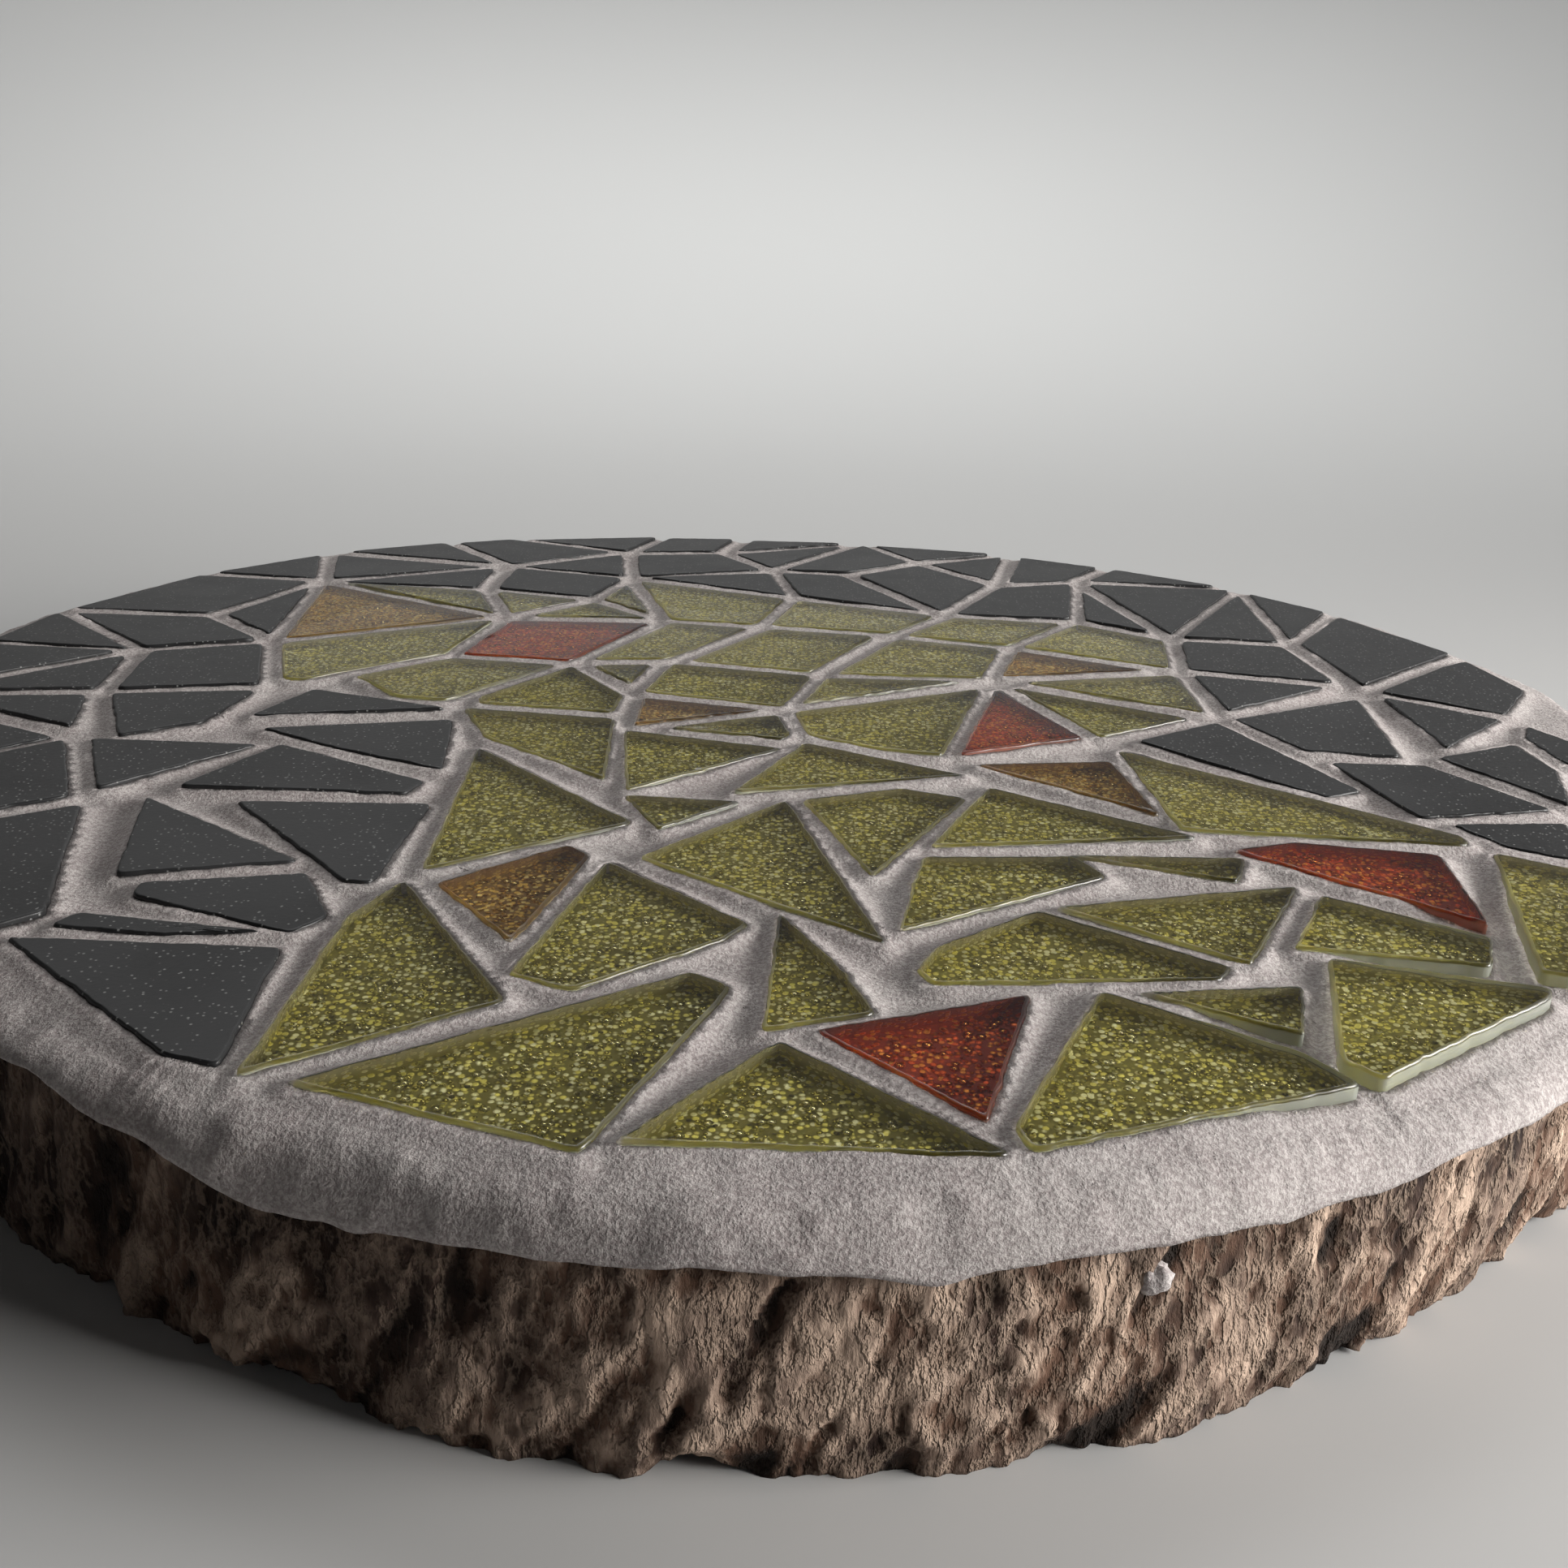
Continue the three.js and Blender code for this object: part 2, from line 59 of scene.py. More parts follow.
WOOD_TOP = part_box("wood_slice")[1][2]
GLASS_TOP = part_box("grout_bed")[1][2]
ARRIS = 0.5 * MM
GROUT_TOP = GLASS_TOP - 1.0 * MM
KINDS = ("olive", "dark", "red", "amber")

# Points of the round solids' outer edge lie farther from the middle than this.
EDGE_FROM = 80 * MM

# The olive field's outline and the places of the red and amber shards in it, in millimetres on the panel.
OLIVE_FIELD = np.array([
    (-44, -107), (-34, -63), (-30, -49), (-29, -17), (-37, -2), (-50, 8), (-66, 35),
    (-40, 53), (30, 53), (53, 38), (54, 5), (41, -9), (68, -28), (110, -47), (110, -107),
]) * MM
WARM_PLACES = (("red", (-17, 36)), ("red", (29, 6)), ("amber", (-58, 33)), ("amber", (36, 27)))

# The foot of the glass and of the grout, and the gap between them.
GLASS_FOOT = WOOD_TOP + 0.15 * MM
GROUT_FOOT = WOOD_TOP + 0.1 * MM
GAP = 0.03 * MM

# Glitter: how close the rows of its staggered grid are for its pitch, how far it keeps off a shard's sides,
# how much bigger its bright grains are, and how much higher they lie.
STAGGER = 0.866
EDGE_CLEAR = 0.35 * MM
BRIGHT_SCALE = 1.9
BRIGHT_LIFT = 0.1 * MM

# The paint and adhesive round a clear shard's glass: how far in it lies, its thickness, and how far its rim
# stays under the grout.
TRAY_INSET = 0.05 * MM
TRAY_WALL = 0.05 * MM
TRAY_BELOW = 0.12 * MM

# The grout's rounded rim: how far its lip stands past the outline, and where its rings begin inside it.
RIM_REACH = 0.75 * MM
RIM_START = 2.5 * MM
RIM_RINGS = 15

# A crumb of grout on the bark: its bearing in degrees, its height and its size in millimetres.
CRUMBS = ((-71.8, 12.7, 1.25),)

# Drips of grout on the bark: bearing in degrees, length in millimetres, width in degrees.
DRIPS = ((-81.0, 0.7, 1.5), (-108.0, 0.4, 1.4), (-66.0, 0.3, 0.8), (-104.0, 0.4, 0.9))

# By bearing in degrees, in millimetres: how high the grout's lip stands over the wood's top, how far the
# outline is drawn in, and how far the bark's foot leans in. Each goes once round, from -122 to 238.
FIRST_BEARING = -122
RISES = (
    (-122, 3.4), (-118, 2.7), (-115, 2.2), (-112, 1.6), (-109.5, 0.9), (-106, 0.5), (-102, 0.8), (-97, 1.4),
    (-90, 1.6), (-86, 1.3), (-82, 1.0), (-75, 1.0), (-70, 1.1), (-65, 0.5), (-61, 0.7), (-57, 1.5),
    (-48, 1.3), (0, 1.2), (60, 0.5), (180, 0.7), (220, 2.0), (238, 3.4),
)
INSETS = ((-122, 2.0), (-115, 1.2), (-110.5, 0.0), (180, 0.0), (238, 2.0))
LEANS = (
    (-122, 0.2), (-111, 0.0), (-100, -0.3), (-80, -0.5), (-70, -0.3), (-63, 0.3), (-54, 1.8), (-43, 0.6),
    (0, 0.3), (238, 0.2),
)


# Numbers

def unit(vectors):
    """Each vector over its own length."""
    return vectors / np.linalg.norm(vectors, axis=-1, keepdims=True)


def smooth_step(low, high, value):
    """3 t^2 - 2 t^3, where t runs from 0 at low to 1 at high."""
    part = np.clip((value - low) / (high - low), 0, 1)
    return part * part * (3 - 2 * part)


NOISE_VALUES = 8192
NOISE_MIX = (73856093, 19349663, 83492791)


def lattice_noise(points, seed):
    """Smooth noise from -1 to 1: random values at the corners of whole-number cells, blended by
    6 t^5 - 15 t^4 + 10 t^3 of the place in the cell."""
    table = np.random.default_rng(seed).uniform(-1, 1, NOISE_VALUES)
    cell = np.floor(points).astype(np.int64)
    part = points - cell
    weight = part ** 3 * (part * (part * 6 - 15) + 10)
    total = np.zeros(points.shape[:-1])
    for corner in itertools.product((0, 1), repeat=3):
        place = (cell + corner) * NOISE_MIX
        mixed = place[..., 0] ^ place[..., 1] ^ place[..., 2]
        value = table[(mixed ^ (mixed >> 13)) & (NOISE_VALUES - 1)]
        total += value * np.where(corner, weight, 1 - weight).prod(axis=-1)
    return total


def cloud(points, size, seed, octaves=3):
    """Noise of a feature size, with each octave half as large and half as strong as the last."""
    total = 0
    for octave in range(octaves):
        total = total + lattice_noise(points / size * 2 ** octave, seed + octave) / 2 ** octave
    return total


def around(angles, values, wanted):
    """Values given at rising angles about the panel, read off at other angles."""
    turn = 2 * math.pi
    angles = np.concatenate((angles[-1:] - turn, angles, angles[:1] + turn))
    values = np.concatenate((values[-1:], values, values[:1]))
    return np.interp(np.mod(wanted + math.pi, turn) - math.pi, angles, values)


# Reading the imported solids

def node_triangles(name):
    """A node's triangles, as an array of triangle, corner, place."""
    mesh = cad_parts[name].data
    points = np.empty(len(mesh.vertices) * 3)
    mesh.vertices.foreach_get("co", points)
    corners = np.empty(len(mesh.loops), dtype=np.int32)
    mesh.loops.foreach_get("vertex_index", corners)
    return points.reshape(-1, 3)[corners].reshape(-1, 3, 3)


def convex_outline(corners):
    """The corners of a convex outline in order about their middle, anticlockwise."""
    across, along = (corners - corners.mean(axis=0)).T
    return corners[np.argsort(np.arctan2(along, across))]


def raised_outlines(name):
    """The outline of each flat top in a node: triangles at the glass's height, gathered by giving each
    corner the lowest label among the triangles that share it until no label changes."""
    triangles = node_triangles(name)
    top = triangles[(triangles[:, :, 2] > GLASS_TOP - 0.1 * MM).all(axis=1)]
    corners, which = np.unique(np.round(top.reshape(-1, 3)[:, :2], 6), axis=0, return_inverse=True)
    which = which.reshape(-1, 3)
    sides = np.sort(np.concatenate((which[:, (0, 1)], which[:, (1, 2)], which[:, (2, 0)])), axis=1)
    sides, shared = np.unique(sides, axis=0, return_counts=True)
    on_edge = np.isin(np.arange(len(corners)), sides[shared == 1])
    label = np.arange(len(corners))
    while True:
        spread = label.copy()
        np.minimum.at(spread, which.ravel(), np.repeat(label[which].min(axis=1), 3))
        if (spread == label).all():
            break
        label = spread
    return [convex_outline(corners[on_edge & (label == group)]) for group in np.unique(label)]


def edge_rings(name):
    """A node's outer edge at each of its heights: the height, with the corners' angles and radii."""
    points = np.unique(np.round(node_triangles(name).reshape(-1, 3), 6), axis=0)
    angle = np.arctan2(points[:, 1], points[:, 0])
    radius = np.hypot(points[:, 0], points[:, 1])
    rings = []
    for height in np.unique(points[:, 2]):
        level = np.flatnonzero((points[:, 2] == height) & (radius > EDGE_FROM))
        level = level[np.argsort(angle[level])]
        rings.append((height, angle[level], radius[level]))
    return rings


# Outlines

def side_normals(outline):
    """The outward normal of each side of an anticlockwise outline."""
    side = np.roll(outline, -1, axis=0) - outline
    return unit(np.stack((side[:, 1], -side[:, 0]), axis=1))


def offset(outline, distance):
    """A convex outline moved out: each corner plus the sum of its two sides' normals, times the distance
    over one plus the normals' dot product."""
    after = side_normals(outline)
    before = np.roll(after, 1, axis=0)
    return outline + (after + before) * distance / (1 + (after * before).sum(axis=1, keepdims=True))


def circular_blur(values, reach):
    """A closed row of values under a Gaussian of the given standard deviation in steps, by Fourier
    transform: each wave of k turns is scaled by exp(-(2 pi k reach / count)^2 / 2)."""
    waves = np.fft.rfft(values, axis=0)
    turns = np.arange(len(waves)) * 2 * math.pi * reach / len(values)
    return np.fft.irfft(waves * np.exp(-turns ** 2 / 2)[:, None], len(values), axis=0)


def inside_outline(points, outline):
    """Whether each point is in an outline: the sides crossed on the way right are odd in number."""
    a = outline[None]
    b = np.roll(outline, -1, axis=0)[None]
    p = points[:, None]
    spans = (a[..., 1] > p[..., 1]) != (b[..., 1] > p[..., 1])
    rise = np.where(spans, b[..., 1] - a[..., 1], 1)
    reach = a[..., 0] + (b[..., 0] - a[..., 0]) * (p[..., 1] - a[..., 1]) / rise
    return (spans & (p[..., 0] < reach)).sum(axis=1) % 2 == 1


class Shard:
    """One shard's outline and how it lies: its kind, its corners, its tilt and the wear of its edge."""

    fine = 4

    def __init__(self, name, kind, corners, number, points):
        self.name = name
        self.kind = kind
        self.random = np.random.default_rng(1000 + number)
        self.corners = offset(corners, ARRIS + settings("shards").growth)
        self.middle = self.corners.mean(axis=0)
        self.slope = self.random.normal(0, settings("shards").tilt, 2)
        self.points = points
        lengths = np.linalg.norm(np.roll(self.corners, -1, axis=0) - self.corners, axis=1)
        self.perimeter = lengths.sum()
        walked = np.arange(points * self.fine) * self.perimeter / (points * self.fine)
        ends = np.concatenate(([0], np.cumsum(lengths)))
        self.side = np.searchsorted(ends, walked, side="right") - 1
        self.part = ((walked - ends[self.side]) / lengths[self.side])[:, None]
        waves = np.arange(1, points // 2)
        phase = self.random.uniform(0, 2 * math.pi, len(waves))
        turn = np.arange(points)[:, None] * waves * 2 * math.pi / points
        strength = np.where(waves < 6, 0.5, 1) / waves ** 0.6
        self.wear = (np.cos(turn + phase) * strength).sum(axis=1)[:, None] / np.sqrt((strength ** 2).sum())

    def ring(self, inset, wear=1.0):
        """The outline moved in, walked at even steps, its corners rounded by a Gaussian, and its nipped
        sides moved in and out by a sum of cosines of random phase that fall with their number."""
        corners = offset(self.corners, -inset)
        ahead = np.roll(corners, -1, axis=0)
        walk = corners[self.side] * (1 - self.part) + ahead[self.side] * self.part
        step = self.perimeter / len(walk)
        walk = circular_blur(walk, settings("shards").rounding / step)[:: self.fine]
        tangent = np.roll(walk, -1, axis=0) - np.roll(walk, 1, axis=0)
        normal = unit(np.stack((tangent[:, 1], -tangent[:, 0]), axis=1))
        return walk + normal * self.wear * settings("shards").wear * wear

    def top(self, place):
        """The height of the shard's top face, a plane with a slight tilt."""
        return GLASS_TOP + ((place - self.middle) * self.slope).sum(axis=-1)


# Meshes

def ring_stack(rings):
    """Rings of points from the top down, joined by four-sided faces: point i of a ring, the one below it,
    and their next ones; the first and last ring are each closed by one face."""
    rings = np.asarray(rings)
    levels, count = rings.shape[:2]
    step = np.arange(count)
    ahead = np.roll(step, -1)
    first = np.arange(levels - 1)[:, None] * count
    quads = np.stack((first + step, first + count + step, first + count + ahead, first + ahead), axis=-1)
    last = (levels - 1) * count + step[::-1]
    return rings.reshape(-1, 3), [quads.reshape(-1, 4), step[None], last[None]]


class Build:
    """Points and faces gathered into one mesh; faces come as arrays of equal corner counts."""

    def __init__(self):
        self.points = []
        self.faces = []
        self.count = 0

    def add(self, points, faces, slots=0, smooth=True):
        """Adds points with arrays of faces that count from those points; slots are material numbers."""
        slots = slots if isinstance(slots, (list, tuple)) else [slots] * len(faces)
        for group, slot in zip(faces, slots):
            self.faces.append((group + self.count, np.broadcast_to(slot, len(group)), smooth))
        self.points.append(points.reshape(-1, 3))
        self.count += len(self.points[-1])

    def piece(self, name, finishes, nodes, slot):
        """The gathered mesh as a piece that rides on the body in place of its nodes."""
        sizes = np.concatenate([np.full(len(group), group.shape[1]) for group, _, _ in self.faces])
        mesh = bpy.data.meshes.new(name)
        mesh.vertices.add(self.count)
        mesh.vertices.foreach_set("co", np.concatenate(self.points).astype(np.float32).ravel())
        corners = np.concatenate([group.ravel() for group, _, _ in self.faces]).astype(np.int32)
        mesh.loops.add(len(corners))
        mesh.loops.foreach_set("vertex_index", corners)
        mesh.polygons.add(len(sizes))
        mesh.polygons.foreach_set("loop_start", (np.cumsum(sizes) - sizes).astype(np.int32))
        numbers = np.concatenate([slots for _, slots, _ in self.faces]).astype(np.int32)
        mesh.polygons.foreach_set("material_index", numbers)
        smooth = np.concatenate([np.full(len(group), soft) for group, _, soft in self.faces])
        mesh.polygons.foreach_set("use_smooth", smooth)
        mesh.update(calc_edges=True)
        for finish in finishes:
            mesh.materials.append(finish)
        piece = bpy.data.objects.new(name, mesh)
        bpy.context.scene.collection.objects.link(piece)
        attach(piece, BODY)
        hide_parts(*nodes)
        return piece


def set_values(piece, name, values):
    """Keeps one number for each point of a piece, for its finish to read."""
    piece.data.attributes.new(name, "FLOAT", "POINT").data.foreach_set("value", values.astype(np.float32))


# Finishes

class Socket:
    """An output of a finish's node; working with numbers or other sockets adds Math nodes."""

    def __init__(self, finish, output):
        self.finish = finish
        self.output = output

    def math(self, operation, *others, clamp=False):
        values = dict(enumerate((self, *others)))
        return self.finish.node("ShaderNodeMath", {"operation": operation, "use_clamp": clamp}, values)

    def __add__(self, other):
        return self.math("ADD", other)

    def __sub__(self, other):
        return self.math("SUBTRACT", other)

    def __rsub__(self, other):
        return self.math("MULTIPLY_ADD", -1.0, other)

    def __mul__(self, other):
        return self.math("MULTIPLY", other)

    __radd__ = __add__
    __rmul__ = __mul__

    def between(self, low, high):
        """0 below low and 1 above high, with a smooth way between."""
        return self.finish.node(
            "ShaderNodeMapRange", {"interpolation_type": "SMOOTHSTEP"}, {0: self, 1: low, 2: high})


class Finish:
    """A material with a Principled shader, whose plain values are given by their sockets' names."""

    def __init__(self, name, plain):
        self.material = bpy.data.materials.new(name)
        self.material.use_nodes = True
        self.tree = self.material.node_tree
        self.shader = self.tree.nodes["Principled BSDF"]
        for socket, value in plain.items():
            self.shader.inputs[socket].default_value = value

    def node(self, kind, chosen=None, values=None, output=0):
        """Adds a node, sets its choices, then its sockets' values or links, and gives one output."""
        node = self.tree.nodes.new(kind)
        for name, value in (chosen or {}).items():
            setattr(node, name, value)
        for name, value in (values or {}).items():
            self.feed(node.inputs[name], value)
        return Socket(self, node.outputs[output])

    def feed(self, socket, value):
        """Links a socket to another's output, or gives it a plain value."""
        if isinstance(value, Socket):
            self.tree.links.new(value.output, socket)
        else:
            socket.default_value = value

    def place(self, stretch=(1, 1, 1)):
        """The point on the piece, in metres, with each axis scaled."""
        point = self.node("ShaderNodeTexCoord", output="Object")
        return self.node("ShaderNodeVectorMath", {"operation": "MULTIPLY"}, {0: point, 1: stretch})

    def noise(self, size, detail=2.0, roughness=0.5, stretch=(1, 1, 1)):
        values = {"Vector": self.place(stretch), "Scale": 1 / size, "Detail": detail, "Roughness": roughness}
        return self.node("ShaderNodeTexNoise", None, values)

    def mix(self, share, low, high):
        """The low colour where the share is 0 and the high colour where it is 1."""
        return self.node("ShaderNodeMix", {"data_type": "RGBA"}, {0: share, 6: low, 7: high}, output=2)

    def paint(self, socket, value):
        self.feed(self.shader.inputs[socket], value)

    def bump(self, height, depth):
        """Raises the surface's normal by a height from 0 to 1 of the given depth in metres."""
        values = {"Strength": 1.0, "Distance": depth, "Height": height}
        self.paint("Normal", self.node("ShaderNodeBump", None, values))


def colour(red, green, blue):
    return (red, green, blue, 1.0)


def clear_finish(name, tint, rough):
    """Clear glass with a slight tint, smooth or worn."""
    return Finish(name, {
        "Base Color": tint, "Roughness": rough, "IOR": 1.5, "Transmission Weight": 1.0,
    }).material


def frosted_finish(name, tint):
    """The nipped sides of clear glass: see-through but rough."""
    return Finish(name, {
        "Base Color": tint, "Roughness": 0.32, "IOR": 1.5, "Transmission Weight": 0.75,
    }).material


def flake_finishes(name, shades):
    """One metal for each shade of glitter."""
    made = []
    for number, (shade, rough, _) in enumerate(shades):
        plain = {"Base Color": shade, "Metallic": 1.0, "Roughness": rough}
        made.append(Finish(f"{name}_glitter_{number}", plain).material)
    return made


def beaded_finish(name, low, high):
    """Fine glitter, bead by bead, with a painted highlight in the middle of each cell and painted shade in
    the gaps. It goes from the low looks at the glitter's level to the high looks near the top; looks are
    the colours of the gaps, of dull beads and of bright beads."""
    finish = Finish(name, {"Specular IOR Level": 0.3})
    level = GLASS_TOP - settings("glitter").depth
    point = finish.node("ShaderNodeSeparateXYZ", None, {0: finish.place()}, output="Z")
    above = point.between(level + 0.05 * MM, GLASS_TOP - 0.6 * MM)
    cells = {"Vector": finish.place(), "Scale": 1 / settings("glitter").bead, "Randomness": 0.85}
    away = finish.node("ShaderNodeTexVoronoi", {"feature": "F1"}, cells, output="Distance")
    pick = finish.node("ShaderNodeTexVoronoi", {"feature": "F1"}, cells, output="Color")
    chance = finish.node("ShaderNodeSeparateColor", None, {0: pick})
    bead = 1 - away.between(0.27, 0.56)
    gap, dull, bright = (finish.mix(above, *pair) for pair in zip(low, high))
    tone = finish.mix(chance.between(0.35, 0.75), dull, bright)
    # Each bead is painted bright in its middle and dark at its border: a painted highlight on each bead and
    # painted shade in the gaps.
    finish.paint("Base Color", finish.mix(bead, gap, tone))
    finish.paint("Metallic", 0.3 * bead)
    finish.paint("Roughness", 0.5 - 0.25 * bead)
    finish.bump(bead, 0.06 * MM)
    return finish.material


SPECK_CELL = 0.5 * MM


def dark_finish():
    """Charcoal glass with a satin face, cloudy wear and fine pale specks."""
    finish = Finish("dark_glass", {"IOR": 1.45, "Specular IOR Level": 0.35})
    haze = finish.noise(14 * MM, detail=4.0).between(0.3, 0.75)
    body = finish.mix(haze, colour(0.013, 0.013, 0.0135), settings("shards").dark)
    cells = {"Vector": finish.place(), "Scale": 1 / SPECK_CELL, "Randomness": 1.0}
    near = finish.node("ShaderNodeTexVoronoi", {"feature": "F1"}, cells, output="Distance")
    pick = finish.node("ShaderNodeTexVoronoi", {"feature": "F1"}, cells, output="Color")
    chosen = finish.node("ShaderNodeSeparateColor", None, {0: pick}).between(0.5, 0.56)
    speck = (1 - near.between(0.1, 0.3)) * chosen
    finish.paint("Base Color", finish.mix(speck, body, colour(0.22, 0.22, 0.215)))
    finish.paint("Roughness", 0.34 + 0.14 * haze + 0.2 * speck)
    finish.bump(finish.noise(0.5 * MM, detail=2.0), 0.012 * MM)
    return finish.material


def grout_finish():
    """Sandy cement: grey-buff, mottled, with grains of sand and small pits painted dark as shade in them."""
    finish = Finish("grout", {"Specular IOR Level": 0.25})
    broad = finish.noise(9 * MM, detail=4.0, roughness=0.6).between(0.3, 0.7)
    grain = finish.noise(0.36 * MM, detail=2.0, roughness=0.75)
    body = finish.mix(broad, settings("grout").deep, settings("grout").pale)
    sand = finish.mix(grain.between(0.35, 0.68), colour(0.22, 0.190, 0.187), colour(0.60, 0.565, 0.545))
    pit = finish.noise(1.0 * MM, detail=4.0, roughness=0.7).between(0.66, 0.74)
    body = finish.mix(0.5, body, sand)
    # The pits are painted dark: painted shade in them.
    finish.paint("Base Color", finish.mix(0.7 * pit, body, colour(0.10, 0.085, 0.08)))
    finish.paint("Roughness", 0.86 + 0.1 * grain)
    lumps = finish.noise(1.1 * MM, detail=2.0)
    finish.bump(grain + 0.4 * lumps - 0.8 * pit, 0.12 * MM)
    return finish.material


def bark_finish():
    """Rough bark: dark in its pits, partly its own darker furrows and partly painted shade, brown on its
    flanks and pale tan along its ridges, and darker towards the left as painted shade."""
    finish = Finish("bark", {"Specular IOR Level": 0.2})
    height = finish.node("ShaderNodeAttribute", {"attribute_name": "height"}, output="Fac")
    fibre = finish.noise(0.55 * MM, detail=4.0, roughness=0.65, stretch=(1, 1, 0.35))
    patch = finish.noise(7 * MM, detail=4.0, roughness=0.6, stretch=(1, 1, 0.5)).between(0.38, 0.62)
    wander = finish.noise(1.5 * MM, detail=4.0, roughness=0.6, stretch=(1, 1, 0.45))
    line = 1 - 11 * finish.node("ShaderNodeMath", {"operation": "ABSOLUTE"}, {0: wander - 0.5})
    line = line.between(0, 1)
    flank = finish.mix(patch, colour(0.018, 0.010, 0.008), settings("bark").flank)
    ridge = finish.mix(patch, colour(0.090, 0.056, 0.044), settings("bark").ridge)
    raised = (height + 0.4 * (fibre - 0.5)).between(0.5, 0.85)
    sunk = (height + 0.3 * (fibre - 0.5)).between(0.2, 0.5)
    body = finish.mix(raised, flank, ridge)
    body = finish.mix(0.4 * line * sunk, body, colour(0.44, 0.33, 0.25))
    # The near-black in the pits is partly the bark's own darker furrows and partly painted shade.
    body = finish.mix(sunk, colour(0.018, 0.012, 0.009), body)
    # Darker towards the left by the place's X: painted shade where the light from the right falls off.
    across = finish.node("ShaderNodeSeparateXYZ", None, {0: finish.place()}, output="X")
    painted_shade_left = 0.5 - 0.5 * across.between(-0.09, 0.05)
    finish.paint("Base Color", finish.mix(painted_shade_left, body, colour(0.010, 0.006, 0.005)))
    finish.paint("Roughness", 0.82 + 0.15 * fibre)
    finish.bump(fibre + line, 0.26 * MM)
    return finish.material


GLITTER = {
    "olive": {
        "tint": colour(1.0, 0.98, 0.88),
        "side": colour(0.86, 0.90, 0.80),
        "floor": (colour(0.26, 0.225, 0.036), colour(1.0, 0.97, 0.56)),
        "wall": (colour(0.42, 0.38, 0.22), colour(0.44, 0.40, 0.23), colour(0.70, 0.64, 0.32)),
        # A dark colour for the backing's rim, outside and back in each kind: painted shadow, a dark line
        # along the glass's sides where they meet the grout.
        "edge": colour(0.035, 0.030, 0.012),
        # A pale colour in each kind for the backing's outside where the grout is struck off low: painted
        # light, the lit look of those sides that face the window.
        "painted_lit_side": colour(0.66, 0.68, 0.60),
        "shades": (
            (colour(1.0, 0.93, 0.34), 0.20, 0.34), (colour(0.86, 0.80, 0.24), 0.24, 0.32),
            (colour(0.58, 0.53, 0.15), 0.28, 0.20), (colour(0.25, 0.22, 0.08), 0.30, 0.06),
            (colour(1.0, 0.97, 0.62), 0.20, 0.15),
        ),
    },
    "red": {
        "tint": colour(1.0, 0.88, 0.80),
        "side": colour(0.60, 0.30, 0.22),
        "floor": (colour(0.36, 0.040, 0.010), colour(1.0, 0.40, 0.05)),
        "wall": (colour(0.22, 0.060, 0.045), colour(0.26, 0.07, 0.045), colour(0.50, 0.11, 0.05)),
        "edge": colour(0.035, 0.010, 0.006),
        "painted_lit_side": colour(0.50, 0.30, 0.26),
        "shades": (
            (colour(1.0, 0.30, 0.04), 0.28, 0.30), (colour(0.85, 0.16, 0.02), 0.32, 0.38),
            (colour(0.45, 0.06, 0.012), 0.36, 0.20), (colour(1.0, 0.50, 0.12), 0.22, 0.18),
        ),
    },
    "amber": {
        "tint": colour(1.0, 0.93, 0.76),
        "side": colour(0.70, 0.58, 0.38),
        "floor": (colour(0.32, 0.19, 0.045), colour(1.0, 0.80, 0.30)),
        "wall": (colour(0.30, 0.18, 0.080), colour(0.34, 0.20, 0.09), colour(0.56, 0.35, 0.13)),
        "edge": colour(0.035, 0.020, 0.008),
        "painted_lit_side": colour(0.60, 0.50, 0.36),
        "shades": (
            (colour(1.0, 0.72, 0.16), 0.28, 0.30), (colour(0.80, 0.50, 0.09), 0.32, 0.40),
            (colour(0.42, 0.23, 0.04), 0.36, 0.20), (colour(1.0, 0.86, 0.40), 0.22, 0.15),
        ),
    },
}


# Settings

def tint_property(name, description, red, green, blue):
    """A colour that the user may change."""
    return FloatVectorProperty(
        name=name, description=description, default=colour(red, green, blue), size=4, min=0, max=1,
        subtype="COLOR")


class ShardSettings(bpy.types.PropertyGroup):
    growth: FloatProperty(
        name="Growth", description="How far the glass stands past the solids' sides",
        default=0.25 * MM, unit="LENGTH", precision=5)
    rounding: FloatProperty(
        name="Corner rounding", description="Width of the Gaussian that rounds the corners",
        default=0.42 * MM, unit="LENGTH", precision=5)
    wear: FloatProperty(
        name="Edge wear", description="How far the nipped sides wander in and out",
        default=0.09 * MM, unit="LENGTH", precision=5)
    tilt: FloatProperty(name="Tilt", description="Typical slope of a shard's top face", default=0.006)
    arris: FloatProperty(
        name="Arris", description="Radius along the top edge of clear glass",
        default=0.28 * MM, unit="LENGTH", precision=5)
    dark_arris: FloatProperty(
        name="Dark arris", description="Radius along the top edge of dark glass",
        default=0.22 * MM, unit="LENGTH", precision=5)
    dark: tint_property("Dark glass", "Paler colour of the dark glass", 0.026, 0.026, 0.027)
    points: IntProperty(name="Outline points", description="Points round a near shard", default=96)
    far_points: IntProperty(name="Far outline points", description="Points round a far shard", default=56)


class GlitterSettings(bpy.types.PropertyGroup):
    pitch: FloatProperty(
        name="Pitch", description="Distance between glitter grains",
        default=0.56 * MM, unit="LENGTH", precision=5)
    far_pitch: FloatProperty(
        name="Far pitch", description="Distance between grains in the far shards",
        default=0.72 * MM, unit="LENGTH", precision=5)
    share: FloatProperty(
        name="Share", description="Share of the grid's places that hold a grain", default=0.45)
    tilt: FloatProperty(name="Tilt", description="Typical slope of a grain", default=0.16)
    dome: FloatProperty(name="Dome", description="Height of a grain over its radius", default=0.30)
    bead: FloatProperty(
        name="Bead", description="Size of the fine glitter's beads",
        default=0.58 * MM, unit="LENGTH", precision=5)
    depth: FloatProperty(
        name="Depth", description="Clear glass over the glitter",
        default=3.3 * MM, unit="LENGTH", precision=5)
    olive: tint_property("Olive", "Colour of the olive glitter's beads", 0.92, 0.82, 0.18)
    red: tint_property("Red", "Colour of the red glitter's beads", 0.85, 0.13, 0.016)
    amber: tint_property("Amber", "Colour of the amber glitter's beads", 0.90, 0.60, 0.13)


